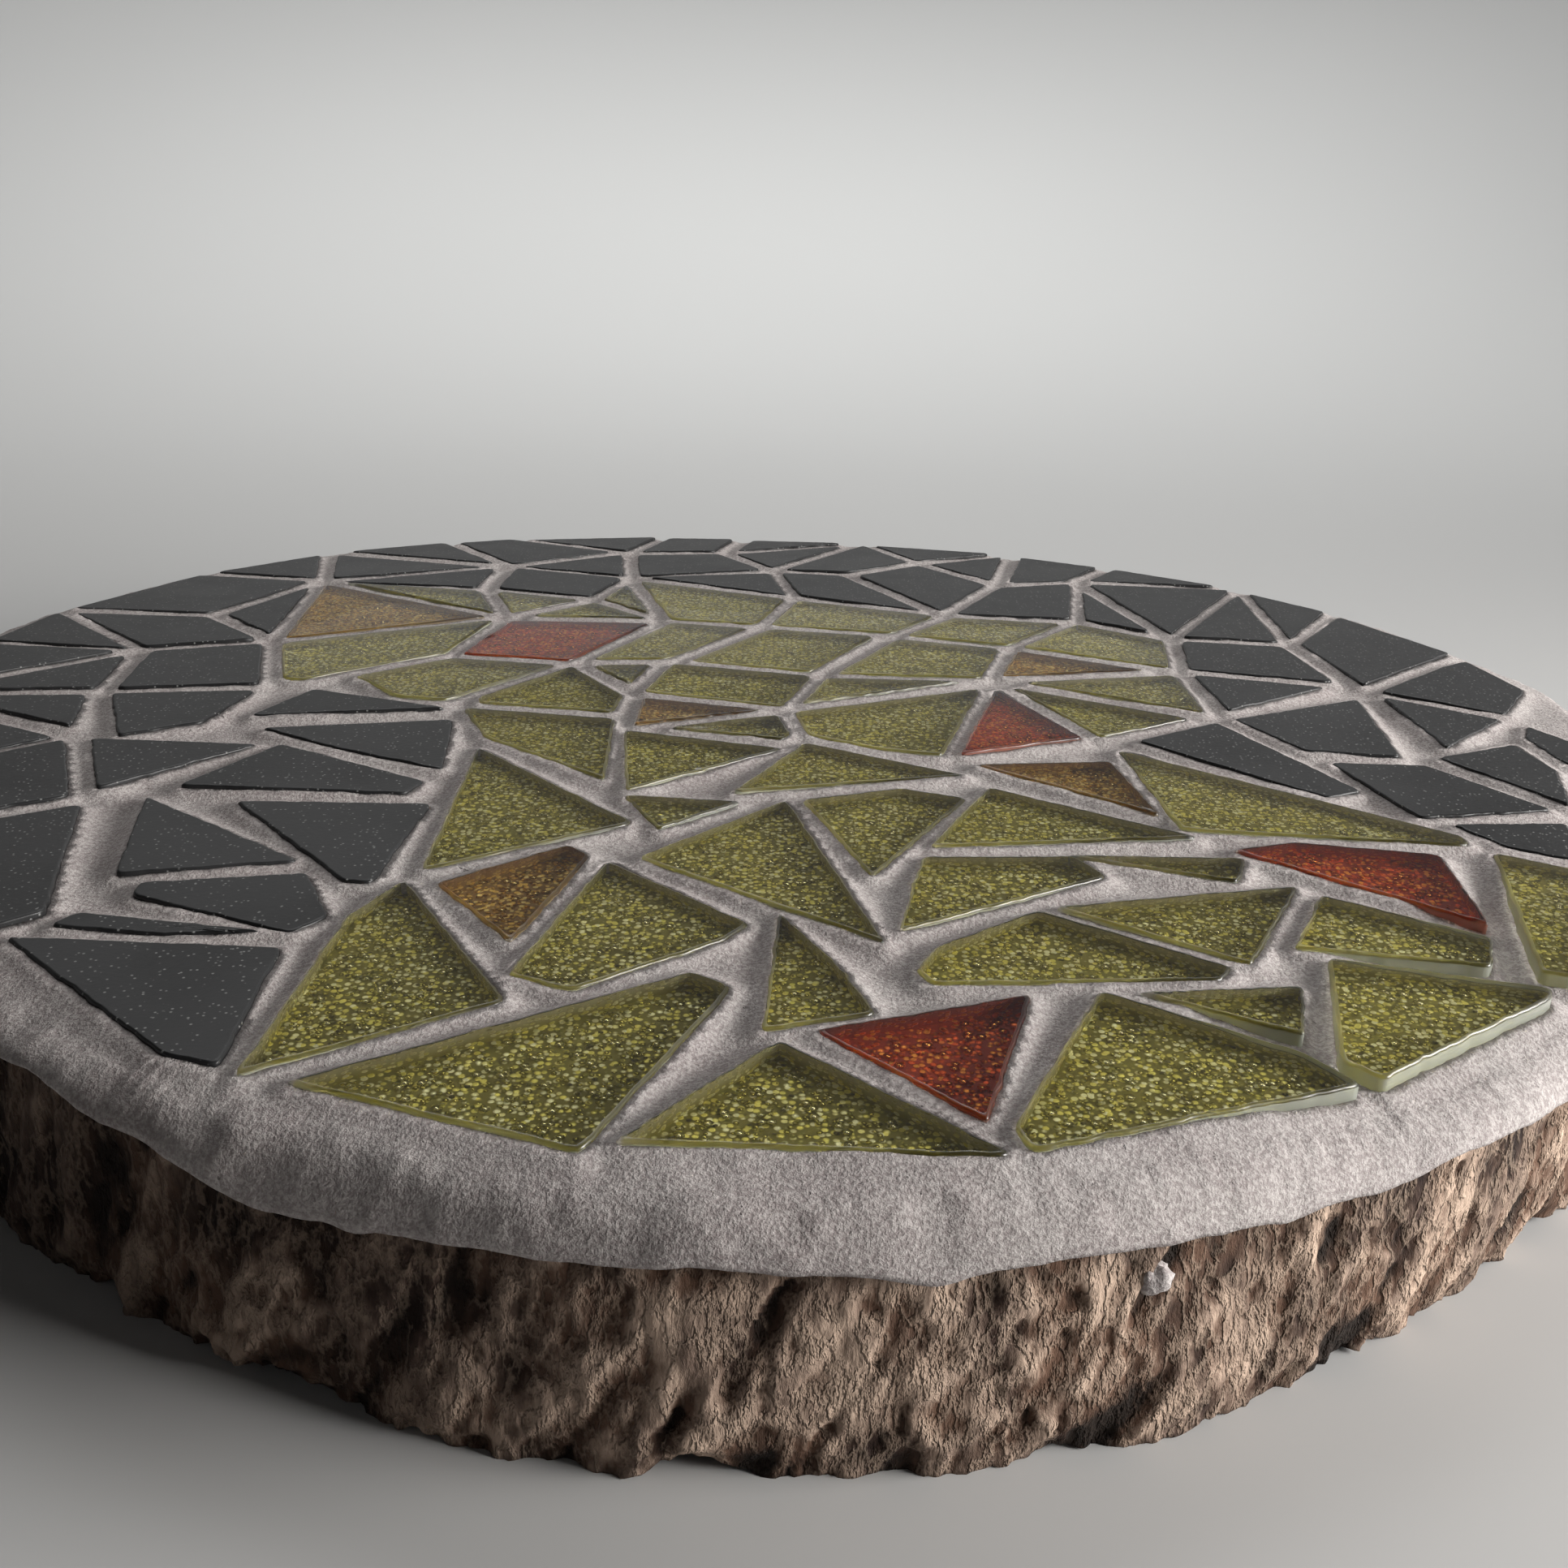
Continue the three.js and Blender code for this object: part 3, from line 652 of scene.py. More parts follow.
class GroutSettings(bpy.types.PropertyGroup):
    cell: FloatProperty(
        name="Cell", description="Spacing of the grout's surface points", default=0.59 * MM, unit="LENGTH",
        precision=5)
    lap: FloatProperty(
        name="Lap", description="How far the grout laps up the glass past its general level",
        default=0.72 * MM, unit="LENGTH", precision=5)
    struck: FloatProperty(
        name="Struck off", description="How much lower the grout is at the near right edge",
        default=1.0 * MM, unit="LENGTH", precision=5)
    sag: FloatProperty(
        name="Sag", description="How far the joints sink between shards", default=0.65 * MM, unit="LENGTH",
        precision=5)
    rim: FloatProperty(
        name="Rim", description="Width of the rounded band round the edge", default=4.4 * MM, unit="LENGTH",
        precision=5)
    deep: tint_property("Deep", "Colour of the grout's darker areas", 0.36, 0.310, 0.302)
    pale: tint_property("Pale", "Colour of the grout's paler areas", 0.44, 0.400, 0.385)


class BarkSettings(bpy.types.PropertyGroup):
    points: IntProperty(name="Points round", description="Points round the bark", default=1900)
    levels: IntProperty(name="Levels", description="Rings of points up the bark", default=42)
    crumb: FloatProperty(
        name="Crumb", description="Depth of the bark's lumps", default=0.55 * MM, unit="LENGTH", precision=5)
    flank: tint_property("Flank", "Colour of the bark's flanks where they are palest", 0.140, 0.080, 0.054)
    ridge: tint_property("Ridge", "Colour of the bark's ridges where they are palest", 0.56, 0.415, 0.32)


class StageSettings(bpy.types.PropertyGroup):
    lens: FloatProperty(name="Lens", description="Focal length on a 36 mm wide sensor", default=36.09)
    place: FloatVectorProperty(
        name="Camera", description="Place of the camera", default=(0.00417, -0.17426, 0.07966),
        unit="LENGTH", precision=5)
    pitch: FloatProperty(
        name="Pitch", description="How far the camera looks down", default=math.radians(21.318),
        subtype="ANGLE")
    roll: FloatProperty(
        name="Roll", description="How far the camera leans", default=math.radians(1.828), subtype="ANGLE")
    key: FloatProperty(name="Window", description="Power of the near window", default=0.8, unit="POWER")
    side: FloatProperty(name="Side window", description="Power of the far window", default=0.4, unit="POWER")
    wall: FloatProperty(name="Wall light", description="Power on the wall", default=1.8, unit="POWER")
    box: FloatProperty(name="Soft box", description="Power of the high soft box", default=2.6, unit="POWER")
    low: FloatProperty(name="Low box", description="Power of the low, wide box", default=0.4, unit="POWER")
    sky: FloatProperty(name="Sky", description="Brightness of the light all round", default=0.0)
    floor: tint_property("Floor", "Paler colour of the floor", 0.54, 0.535, 0.53)


GROUPS = {
    "shards": ShardSettings, "glitter": GlitterSettings, "grout": GroutSettings, "bark": BarkSettings,
    "stage": StageSettings,
}


def settings(name):
    """One of the scene's groups of settings."""
    return getattr(bpy.context.scene, f"mosaic_{name}")


# Layout

def read_shards():
    """All the shards: those with a node of their own, then the far ones raised on the grout bed."""
    near = settings("shards").points
    far = settings("shards").far_points
    shards = []
    for name in sorted(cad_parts):
        kind = name.split("_")[0]
        if kind in KINDS:
            (outline,) = raised_outlines(name)
            shards.append(Shard(name, kind, outline, len(shards), near))
    for outline in raised_outlines("grout_bed"):
        middle = outline.mean(axis=0)[None]
        kind = "olive" if inside_outline(middle, OLIVE_FIELD)[0] else "dark"
        for warm, place in WARM_PLACES:
            if inside_outline(np.array([place]) * MM, offset(outline, 2 * MM))[0]:
                kind = warm
        shards.append(Shard(None, kind, outline, len(shards), far))
    return shards


def shard_rings(shard, arris):
    """Rings down a shard: four that draw in towards the middle across the top, with a slight unevenness,
    then a quarter round of the arris, inset arris * (1 - sin t) and dropped arris * (1 - cos t), and the
    side down to its foot."""
    rings = []
    edge = shard.ring(arris + 0.06 * MM)
    for share in (0.12, 0.4, 0.68, 0.9):
        place = shard.middle + (edge - shard.middle) * share
        wave = cloud(np.column_stack((place, np.zeros(len(place)))), 7 * MM, 90, octaves=2)
        rings.append(np.column_stack((place, shard.top(place) + wave * 0.012 * MM)))
    rings.append(np.column_stack((edge, shard.top(edge))))
    for turn in np.linspace(0, math.pi / 2, 5):
        place = shard.ring(arris * (1 - math.sin(turn)), wear=0.6 + 0.4 * math.sin(turn))
        rings.append(np.column_stack((place, shard.top(place) - arris * (1 - math.cos(turn)))))
    side = rings[-1][:, :2]
    rings.append(np.column_stack((side, np.full(len(side), GLASS_FOOT))))
    return np.array(rings)


def tray_rings(shard, level, rim):
    """Rings of the paint and adhesive round a shard's glass from inside it: from the inner floor, at the
    glitter's level, up the inside, over the rim and down the outside to its foot."""
    outer = shard.ring(TRAY_INSET)
    inner = shard.ring(TRAY_INSET + TRAY_WALL)
    foot = np.full(len(outer), GLASS_FOOT + TRAY_INSET)
    heights = ((inner, np.full(len(inner), level)), (inner, rim), (outer, rim), (outer, foot))
    return np.array([np.column_stack(place) for place in heights])


def glitter_grains(shard, pitch, height, shades):
    """Grains on a staggered grid with a random shift: each a six-sided dome with a flat back, its rim at
    radius * (cos, sin), its middle raised, sheared by a random slope. Bigger, brighter ones are few."""
    low = shard.corners.min(axis=0)
    count = np.ceil((shard.corners.max(axis=0) - low) / (pitch, pitch * STAGGER)).astype(int) + 1
    column, row = np.meshgrid(np.arange(count[0]), np.arange(count[1]), indexing="ij")
    place = np.stack((column + 0.5 * (row % 2), row * STAGGER), axis=-1).reshape(-1, 2) * pitch + low
    place = place + shard.random.uniform(-0.22, 0.22, place.shape) * pitch
    past = ((place[:, None] - shard.corners) * side_normals(shard.corners)).sum(axis=-1).max(axis=1)
    held = shard.random.uniform(0, 1, len(past)) < settings("glitter").share
    place = place[(past < -EDGE_CLEAR) & held]
    number = len(place)
    shares = np.array([share for _, _, share in shades])
    shade = shard.random.choice(len(shades), number, p=shares / shares.sum())
    bright = shade == len(shades) - 1
    radius = pitch * shard.random.uniform(0.30, 0.46, number) * np.where(bright, BRIGHT_SCALE, 1)
    slope = shard.random.normal(0, settings("glitter").tilt, (number, 1, 2))
    turn = np.arange(6) * math.pi / 3 + shard.random.uniform(0, math.pi, (number, 1))
    rim = np.stack((np.cos(turn), np.sin(turn)), axis=-1) * radius[:, None, None]
    lift = np.where(bright, BRIGHT_LIFT, 0)[:, None]
    level = height + shard.random.uniform(0, 0.12, (number, 1)) * MM + lift
    ring = np.concatenate((rim + place[:, None], ((rim * slope).sum(axis=-1) + level)[..., None]), axis=-1)
    peak = level[:, 0] + radius * settings("glitter").dome
    points = np.concatenate((ring, np.column_stack((place, peak))[:, None]), axis=1)
    first = np.arange(number)[:, None, None] * 7
    step = np.arange(6)
    fan = np.stack((step, np.roll(step, -1), np.full(6, 6)), axis=-1)[None] + first
    back = step[::-1][None] + first[:, 0]
    return points, [fan.reshape(-1, 3), back], [np.repeat(shade, 6), shade]


def build_clear(shards, name, kind, nodes, pitch):
    """The glass of like shards, and the glitter and backing that are sealed under it."""
    looks = GLITTER[kind]
    glass = Build()
    glitter = Build()
    for shard in shards:
        rings = shard_rings(shard, settings("shards").arris)
        points, faces = ring_stack(rings)
        quads = faces[0]
        strip = np.arange(len(quads)) // shard.points
        slots = np.where(strip >= len(rings) - 2, 2, np.where(strip >= len(rings) - 6, 1, 0))
        glass.add(points, faces, [slots, 0, 0])
        level = GLASS_TOP - settings("glitter").depth
        rim = grout_level(shard.ring(0)) - TRAY_BELOW
        tray = tray_rings(shard, level, rim)
        points, faces = ring_stack(tray)
        shades = looks["shades"]
        # Where the grout is struck off, the backing's outside is painted pale: painted light on those sides.
        painted_lit_side = struck_share(shard.ring(0)) > 0.3
        same = np.ones(shard.points, int)
        # The backing's rim, outside and back are painted dark: a painted shadow line along the glass's
        # sides.
        slots = np.concatenate((same, same * 2, np.where(painted_lit_side, 3, 2))) + len(shades)
        glitter.add(points, faces, [slots, len(shades), len(shades) + 2], smooth=False)
        glitter.add(*glitter_grains(shard, pitch, level + 0.04 * MM, shades))
    slot = f"{kind}_glass"
    glass.piece(f"{name}_glass", finishes(kind, "glass"), nodes, slot)
    glitter.piece(f"{name}_glitter", finishes(kind, "glitter"), nodes, slot)


def build_dark(shards, name, nodes):
    """Opaque dark glass of like shards."""
    build = Build()
    for shard in shards:
        build.add(*ring_stack(shard_rings(shard, settings("shards").dark_arris)))
    build.piece(name, finishes("dark", "glass"), nodes, "dark_glass")


FINISHES = {}


def finishes(kind, part):
    """The finishes of a kind of shard, made once."""
    if (kind, part) not in FINISHES:
        if kind == "dark":
            made = [dark_finish()]
        elif part == "glass":
            looks = GLITTER[kind]
            made = [
                clear_finish(f"{kind}_clear", looks["tint"], 0.015),
                clear_finish(f"{kind}_arris", looks["tint"], 0.3),
                frosted_finish(f"{kind}_side", looks["side"]),
            ]
        else:
            looks = GLITTER[kind]
            gap, bright = looks["floor"]
            floor = (gap, getattr(settings("glitter"), kind), bright)
            made = flake_finishes(kind, looks["shades"])
            made.append(beaded_finish(f"{kind}_floor", floor, floor))
            made.append(beaded_finish(f"{kind}_wall", floor, looks["wall"]))
            # The dark edge finish: painted shadow.
            made.append(Finish(f"{kind}_edge", {"Base Color": looks["edge"], "Roughness": 0.6}).material)
            # The pale outside of the backing: painted light.
            made.append(Finish(f"{kind}_bared", {"Base Color": looks["painted_lit_side"], "Roughness": 0.6}).material)
        FINISHES[kind, part] = made
    return FINISHES[kind, part]


def nearest_shard(points, outlines, reach):
    """Each point's signed distance to the nearest shard, less than 0 inside, and the nearest place on its
    outline: on a side from a to b that is a + (b - a) * t, with t = (p - a).(b - a) / |b - a|^2 kept
    between 0 and 1."""
    distance = np.full(len(points), reach)
    nearest = points.copy()
    for outline in outlines:
        low = outline.min(axis=0) - reach
        high = outline.max(axis=0) + reach
        close = np.flatnonzero(((points > low) & (points < high)).all(axis=1))
        p = points[close][:, None]
        a = outline[None]
        side = np.roll(outline, -1, axis=0)[None] - a
        along = np.clip(((p - a) * side).sum(axis=-1) / (side ** 2).sum(axis=-1), 0, 1)
        foot = a + side * along[..., None]
        gap = np.linalg.norm(p - foot, axis=-1)
        best = gap.argmin(axis=1)
        row = np.arange(len(close))
        signed = np.where(inside_outline(points[close], outline), -1, 1) * gap[row, best]
        closer = signed < distance[close]
        distance[close[closer]] = signed[closer]
        nearest[close[closer]] = foot[row, best][closer]
    return distance, nearest


def rim_fall(place, lip):
    """How far the rounded rim has fallen at a place: drop * (1 - sqrt(1 - x^2)), where x runs from 0 where
    the rim begins to 1 at its lip."""
    width = settings("grout").rim
    x = np.clip((np.hypot(place[:, 0], place[:, 1]) - lip + width) / width, 0, 1)
    return (GROUT_TOP - WOOD_TOP) * (1 - np.sqrt(1 - x ** 2))


def struck_share(place):
    """Where the grout is struck off lower: 1 along the near right edge and 0 elsewhere."""
    bearing = np.degrees(np.arctan2(place[:, 1], place[:, 0]))
    low = smooth_step(-70, -60, bearing) * smooth_step(-28, -36, bearing)
    return low * smooth_step(74 * MM, 84 * MM, np.hypot(place[:, 0], place[:, 1]))


def grout_level(place):
    """The grout's height against the glass, uneven by clouds of two sizes, and lower where struck off."""
    flat = np.column_stack((place, np.zeros(len(place))))
    uneven = cloud(flat, 11 * MM, 21) * 0.12 * MM + cloud(flat, 2.2 * MM, 22) * 0.06 * MM
    return GROUT_TOP + settings("grout").lap + uneven - struck_share(place) * settings("grout").struck


FILLET = 1.3 * MM


def grout_height(place, distance, lip):
    """The grout's top: its level against the glass, sunk between shards by sag * (1 - exp(-(d / w)^2)), and
    rounded down to the rim; w is the width of the fillet against the glass."""
    flat = np.column_stack((place, np.zeros(len(place))))
    away = 1 - np.exp(-(distance / FILLET) ** 2)
    sandy = cloud(flat, 0.9 * MM, 25, octaves=2) * 0.05 * MM * away
    return grout_level(place) + sandy - settings("grout").sag * away - rim_fall(place, lip)


def kept_cells(height_over, inner):
    """Cells of the grid that are grout, with none that meet only at a corner."""
    kept = (height_over[:-1, :-1] + height_over[1:, :-1] + height_over[1:, 1:] + height_over[:-1, 1:] > 0)
    kept &= inner
    for _ in range(4):
        for flip in (False, True):
            cells = kept[:, ::-1] if flip else kept
            lone = cells[:-1, :-1] & cells[1:, 1:] & ~cells[1:, :-1] & ~cells[:-1, 1:]
            cells[1:, :-1] |= lone
    return kept


def build_grout(shards):
    """The grout's top is a grid kept only outside the shards and within the rim, with its border points
    moved onto the shards' outlines and the rim's line. Walls go down along the shards. Round the rim,
    rings run out and down along a quarter round to a ragged lower edge on the bark. Crumbs are added."""
    step = settings("grout").cell
    reach = rim_line(np.linspace(-math.pi, math.pi, 720)).max()
    line = np.arange(-reach, reach + step, step)
    count = len(line)
    grid = np.stack(np.meshgrid(line, line, indexing="ij"), axis=-1).reshape(-1, 2)
    distance, nearest = nearest_shard(grid, [shard.ring(-GAP) for shard in shards], 4 * MM)
    angle = np.arctan2(grid[:, 1], grid[:, 0])
    radius = np.hypot(grid[:, 0], grid[:, 1])
    rim_radius = rim_line(angle) - RIM_START
    over = np.minimum(distance, 4 * step).reshape(count, count)
    middle = (rim_radius - radius).reshape(count, count)
    inner = (middle[:-1, :-1] + middle[1:, :-1] + middle[1:, 1:] + middle[:-1, 1:]) > 0
    kept = kept_cells(over, inner)
    wide = np.pad(kept, 1)
    number = np.arange(count * count).reshape(count, count)
    cell = np.argwhere(kept)
    low = number[cell[:, 0], cell[:, 1]]
    corners = np.stack((low, low + count, low + count + 1, low + 1), axis=1)
    used, corners = np.unique(corners, return_inverse=True)
    corners = corners.reshape(-1, 4)
    place = grid[used]
    touching = np.bincount(corners.ravel(), minlength=len(used))
    border = touching < 4
    to_rim = rim_radius[used] - radius[used]
    on_rim = border & (np.abs(to_rim) < np.abs(distance[used]))
    on_shard = border & ~on_rim
    place[on_shard] = nearest[used][on_shard]
    sides = []
    for corner, (across, along) in enumerate(((0, -1), (1, 0), (0, 1), (-1, 0))):
        beside = wide[cell[:, 0] + 1 + across, cell[:, 1] + 1 + along]
        sides.append(np.stack((corners[:, corner], corners[:, (corner + 1) % 4]), axis=1)[~beside])
    sides = np.concatenate(sides)
    outer = on_rim[sides].all(axis=1)
    loop = np.unique(sides[outer])
    turn = np.arctan2(place[loop, 1], place[loop, 0])
    loop = loop[np.argsort(turn)]
    turn = np.sort(turn)
    whole = 2 * math.pi
    straight = turn - np.arange(len(turn)) * whole / len(turn)
    turn = circular_blur(straight[:, None], 6)[:, 0] + np.arange(len(turn)) * whole / len(turn)
    bound = rim_line(turn) - RIM_START
    place[loop] = np.stack((np.cos(turn), np.sin(turn)), axis=1) * bound[:, None]
    far = np.where(on_shard, 0, distance[used])
    lip = rim_line(np.arctan2(place[:, 1], place[:, 0])) + RIM_REACH
    height = grout_height(place, np.clip(far, 0, None), lip)
    top = np.column_stack((place, height))
    bottom = np.column_stack((place, np.full(len(place), GROUT_FOOT)))
    total = len(place)
    walls = sides[~outer]
    faces = [
        corners, corners[:, ::-1] + total,
        np.stack((walls[:, 0] + total, walls[:, 1] + total, walls[:, 1], walls[:, 0]), axis=1),
    ]
    band = rim_rings(turn, bound, height[loop])
    around_count = len(loop)
    inside_ring = np.concatenate((loop, np.arange(len(band) * around_count) + 2 * total, loop + total))
    levels = inside_ring.reshape(-1, around_count)
    ahead = np.roll(levels, -1, axis=1)
    strip = np.stack((levels[:-1], levels[1:], ahead[1:], ahead[:-1]), axis=-1)
    faces.append(strip.reshape(-1, 4))
    build = Build()
    build.add(np.concatenate((top, bottom, band.reshape(-1, 3))), faces)
    for bearing, height, size in CRUMBS:
        build.add(*ring_stack(crumb_rings(math.radians(bearing), height * MM, size * MM)))
    build.piece("grout", [grout_finish()], ["grout_bed"], "grout")


def crumb_rings(bearing, height, size):
    """Rings of a crumb of grout stuck to the bark: a ball, size * (sin t cos a, sin t sin a, cos t), its
    size uneven by a cloud, pressed flat towards the bark."""
    reach = rim_line(np.array([bearing]))[0] - 0.1 * MM
    ray = np.array((math.cos(bearing), math.sin(bearing), 0))
    turn = np.arange(24) * 2 * math.pi / 24
    fall = (np.arange(12) + 0.5)[:, None] * math.pi / 12
    across, along = np.sin(fall) * np.cos(turn), np.sin(fall) * np.sin(turn)
    ball = np.stack((across, along, np.cos(fall) + 0 * turn), axis=-1)
    ball *= size * (1 + 0.35 * cloud(ball * size, 0.9 * MM, 80))[..., None]
    ball -= 0.4 * (ball @ ray)[..., None] * ray
    return ball + ray * reach + (0, 0, height)


def by_bearing(table, angle):
    """A length given in millimetres at some bearings, in metres at the angles."""
    bearing = np.mod(np.degrees(angle) - FIRST_BEARING, 360) + FIRST_BEARING
    return np.interp(bearing, *np.array(table).T) * MM


def rim_line(angle):
    """The radius of the grout's outline at the angles: the solid's, drawn in where the photo's is."""
    _, edge_angle, edge_radius = edge_rings("grout_bed")[1]
    return around(edge_angle, edge_radius, angle) - by_bearing(INSETS, angle)


def rim_rings(turn, bound, height):
    """Rings of the rim from its start to its lower lip and back under, along the quarter round that
    rim_fall begins: out by width * sin(t) and down by drop * (1 - cos(t)), roughened by clouds. Drips
    lengthen the drop as exp(-((angle - a) / w)^2)."""
    reach = rim_line(turn) + RIM_REACH
    ray = np.stack((np.cos(turn), np.sin(turn)), axis=1)
    lip = np.column_stack((ray * reach[:, None], np.full(len(turn), WOOD_TOP)))
    low = WOOD_TOP + by_bearing(RISES, turn) + cloud(lip, 8 * MM, 31, octaves=4) * 0.35 * MM
    run = np.zeros(len(turn))
    for bearing, fall, width in DRIPS:
        run = run + fall * MM * np.exp(-((np.degrees(turn) - bearing) / width) ** 2)
    low = low - run
    rings = []
    width = settings("grout").rim
    begin = math.asin((width - RIM_START - RIM_REACH) / width)
    fallen = 1 - math.cos(begin)
    for share in np.linspace(0, 1, RIM_RINGS)[1:]:
        bend = begin + share * (math.pi / 2 - begin)
        part = (math.sin(bend) - math.sin(begin)) / (1 - math.sin(begin))
        out = bound + (reach - bound) * part + run * 0.25 * share ** 4
        fall = (height - low) * (1 - math.cos(bend) - fallen) / (1 - fallen)
        points = np.column_stack((ray * out[:, None], height - fall))
        rough = cloud(points, 2.4 * MM, 33) * 0.12 * MM + cloud(points, 9 * MM, 36) * 0.08 * MM
        points[:, :2] += ray * (rough * math.sin(bend))[:, None]
        points[:, 2] += rough * math.cos(bend)
        rings.append(points)
    for back, rise in ((0.5 * MM, -0.05 * MM), (1.6 * MM, 0.2 * MM)):
        under = np.column_stack((ray * (reach - back)[:, None], low + rise))
        rings.append(under)
    return np.array(rings)


def bark_surface(angle, level):
    """The bark's outer face at angles and levels from 0 at the foot to 1 at the top: the solid's edge at
    that height, moved in and out by long ridges and wrinkles, each 1 - 2 |noise| on leaning places, by
    crumbs and by pits."""
    rings = edge_rings("wood_slice")
    heights = np.array([height for height, _, _ in rings])
    radii = np.array([around(bearings, radius, angle) for _, bearings, radius in rings])
    radii = radii - by_bearing(INSETS, angle)
    height = level * WOOD_TOP
    above = np.clip(np.searchsorted(heights, height, side="right"), 1, len(heights) - 1)
    part = (height - heights[above - 1]) / (heights[above] - heights[above - 1])
    radius = radii[above - 1] * (1 - part[:, None]) + radii[above] * part[:, None]
    ray = np.stack((np.cos(angle), np.sin(angle)), axis=1)
    tall = np.broadcast_to(height[:, None], radius.shape)
    place = np.concatenate((ray[None] * radius[..., None], tall[..., None]), axis=-1)
    drift = cloud(place, 5 * MM, 50, octaves=3)[..., None] * (1.0 * MM, 1.0 * MM, 0.8 * MM)
    bent = place + drift
    bent[..., :2] -= tall[..., None] * np.stack((-ray[:, 1], ray[:, 0]), axis=-1)[None] * 0.4
    crumb = settings("bark").crumb
    folds = 1 - 2 * np.abs(cloud(bent * (1, 1, 0.3), 6.5 * MM, 51, octaves=3))
    wrinkles = 1 - 2 * np.abs(cloud(bent * (1, 1, 0.45), 2.6 * MM, 58, octaves=3))
    crumbs = cloud(bent * (1, 1, 0.7), 1.0 * MM, 54, octaves=2)
    pits = smooth_step(0.45, 0.8, cloud(bent * (1, 1, 0.6), 1.5 * MM, 61, octaves=2))
    move = crumb * (0.65 * folds + 0.42 * wrinkles + 0.16 * crumbs) - 0.25 * MM * pits
    return place, ray, radius, move


def build_bark():
    """The bark's outer face between a ragged top and foot, closed by flat faces above and below."""
    count = settings("bark").points
    levels = settings("bark").levels
    angle = np.arange(count) * 2 * math.pi / count - math.pi
    level = np.linspace(1, 0, levels)
    place, ray, radius, move = bark_surface(angle, level)
    ends = np.minimum(smooth_step(0, 0.10, level), smooth_step(1.0, 0.95, level))[:, None]
    outline = np.column_stack((ray * radius[-1][:, None], np.zeros(count)))
    ragged = np.clip(cloud(outline, 7 * MM, 70, octaves=4) + 0.1, 0, None) * 1.1 * MM
    tuck = (1 - smooth_step(0, 0.2, level))[:, None] * (0.4 * MM + ragged * 0.6)
    lean = (1 - level)[:, None] ** 1.5 * by_bearing(LEANS, angle)
    away = move - 0.35 * MM - tuck - lean - 0.12 * MM * (1 - ends)
    points = place.copy()
    points[..., :2] += ray[None] * away[..., None]
    up = by_bearing(RISES, angle) + 0.3 * MM
    points[..., 2] += (1 - level)[:, None] ** 6 * ragged + level[:, None] ** 3 * up
    height = np.clip(0.5 + move / (2.6 * settings("bark").crumb), 0, 1)
    foot = points[-1].copy()
    foot[:, :2] -= ray * 1.4 * MM
    foot[:, 2] = 0
    inner = points[0].copy()
    inner[:, :2] -= ray * 1.5 * MM
    inner[:, 2] = WOOD_TOP
    rings = np.concatenate((inner[None], points, foot[None]))
    points, faces = ring_stack(rings)
    build = Build()
    build.add(points, faces)
    piece = build.piece("bark", [bark_finish()], ["wood_slice"], "bark")
    set_values(piece, "height", np.concatenate((np.full(count, 0.3), height.ravel(), np.full(count, 0.1))))


# Operators

class MOSAIC_OT_bark(bpy.types.Operator):
    """Builds the slice of wood with its bark"""

    bl_idname = "mosaic.bark"
    bl_label = "Bark"

    def execute(self, context):
        build_bark()
        return {"FINISHED"}


class MOSAIC_OT_grout(bpy.types.Operator):
    """Builds the grout between the shards and its rounded rim"""

    bl_idname = "mosaic.grout"
    bl_label = "Grout"

    def execute(self, context):
        build_grout(read_shards())
        return {"FINISHED"}


class MOSAIC_OT_dark_shards(bpy.types.Operator):
    """Builds the shards of dark glass"""

    bl_idname = "mosaic.dark_shards"
    bl_label = "Dark shards"

    def execute(self, context):
        shards = [shard for shard in read_shards() if shard.kind == "dark"]
        for shard in shards:
            if shard.name:
                build_dark([shard], f"{shard.name}_body", [shard.name])
        build_dark([shard for shard in shards if not shard.name], "far_dark_shards", ["grout_bed"])
        return {"FINISHED"}


class MOSAIC_OT_clear_shards(bpy.types.Operator):
    """Builds the shards of clear glass and the glitter under them"""

    bl_idname = "mosaic.clear_shards"
    bl_label = "Clear shards"

    def execute(self, context):
        for kind in GLITTER:
            shards = [shard for shard in read_shards() if shard.kind == kind]
            for shard in shards:
                if shard.name:
                    build_clear([shard], shard.name, kind, [shard.name], settings("glitter").pitch)
            far = [shard for shard in shards if not shard.name]
            if far:
                build_clear(far, f"far_{kind}_shards", kind, ["grout_bed"], settings("glitter").far_pitch)
        return {"FINISHED"}


def area_light(name, place, target, size, power, spread, tint):
    """A soft rectangular light that faces its target, with its beam's full angle."""
    light = bpy.data.lights.new(name, "AREA")
    light.shape = "RECTANGLE"
    light.size, light.size_y = size
    light.energy = power
    light.color = tint
    light.spread = math.radians(spread)
    lamp = bpy.data.objects.new(name, light)
    bpy.context.scene.collection.objects.link(lamp)
    facing = (Vector(target) - Vector(place)).to_track_quat("-Z", "Y")
    lamp.matrix_world = Matrix.Translation(place) @ facing.to_matrix().to_4x4()


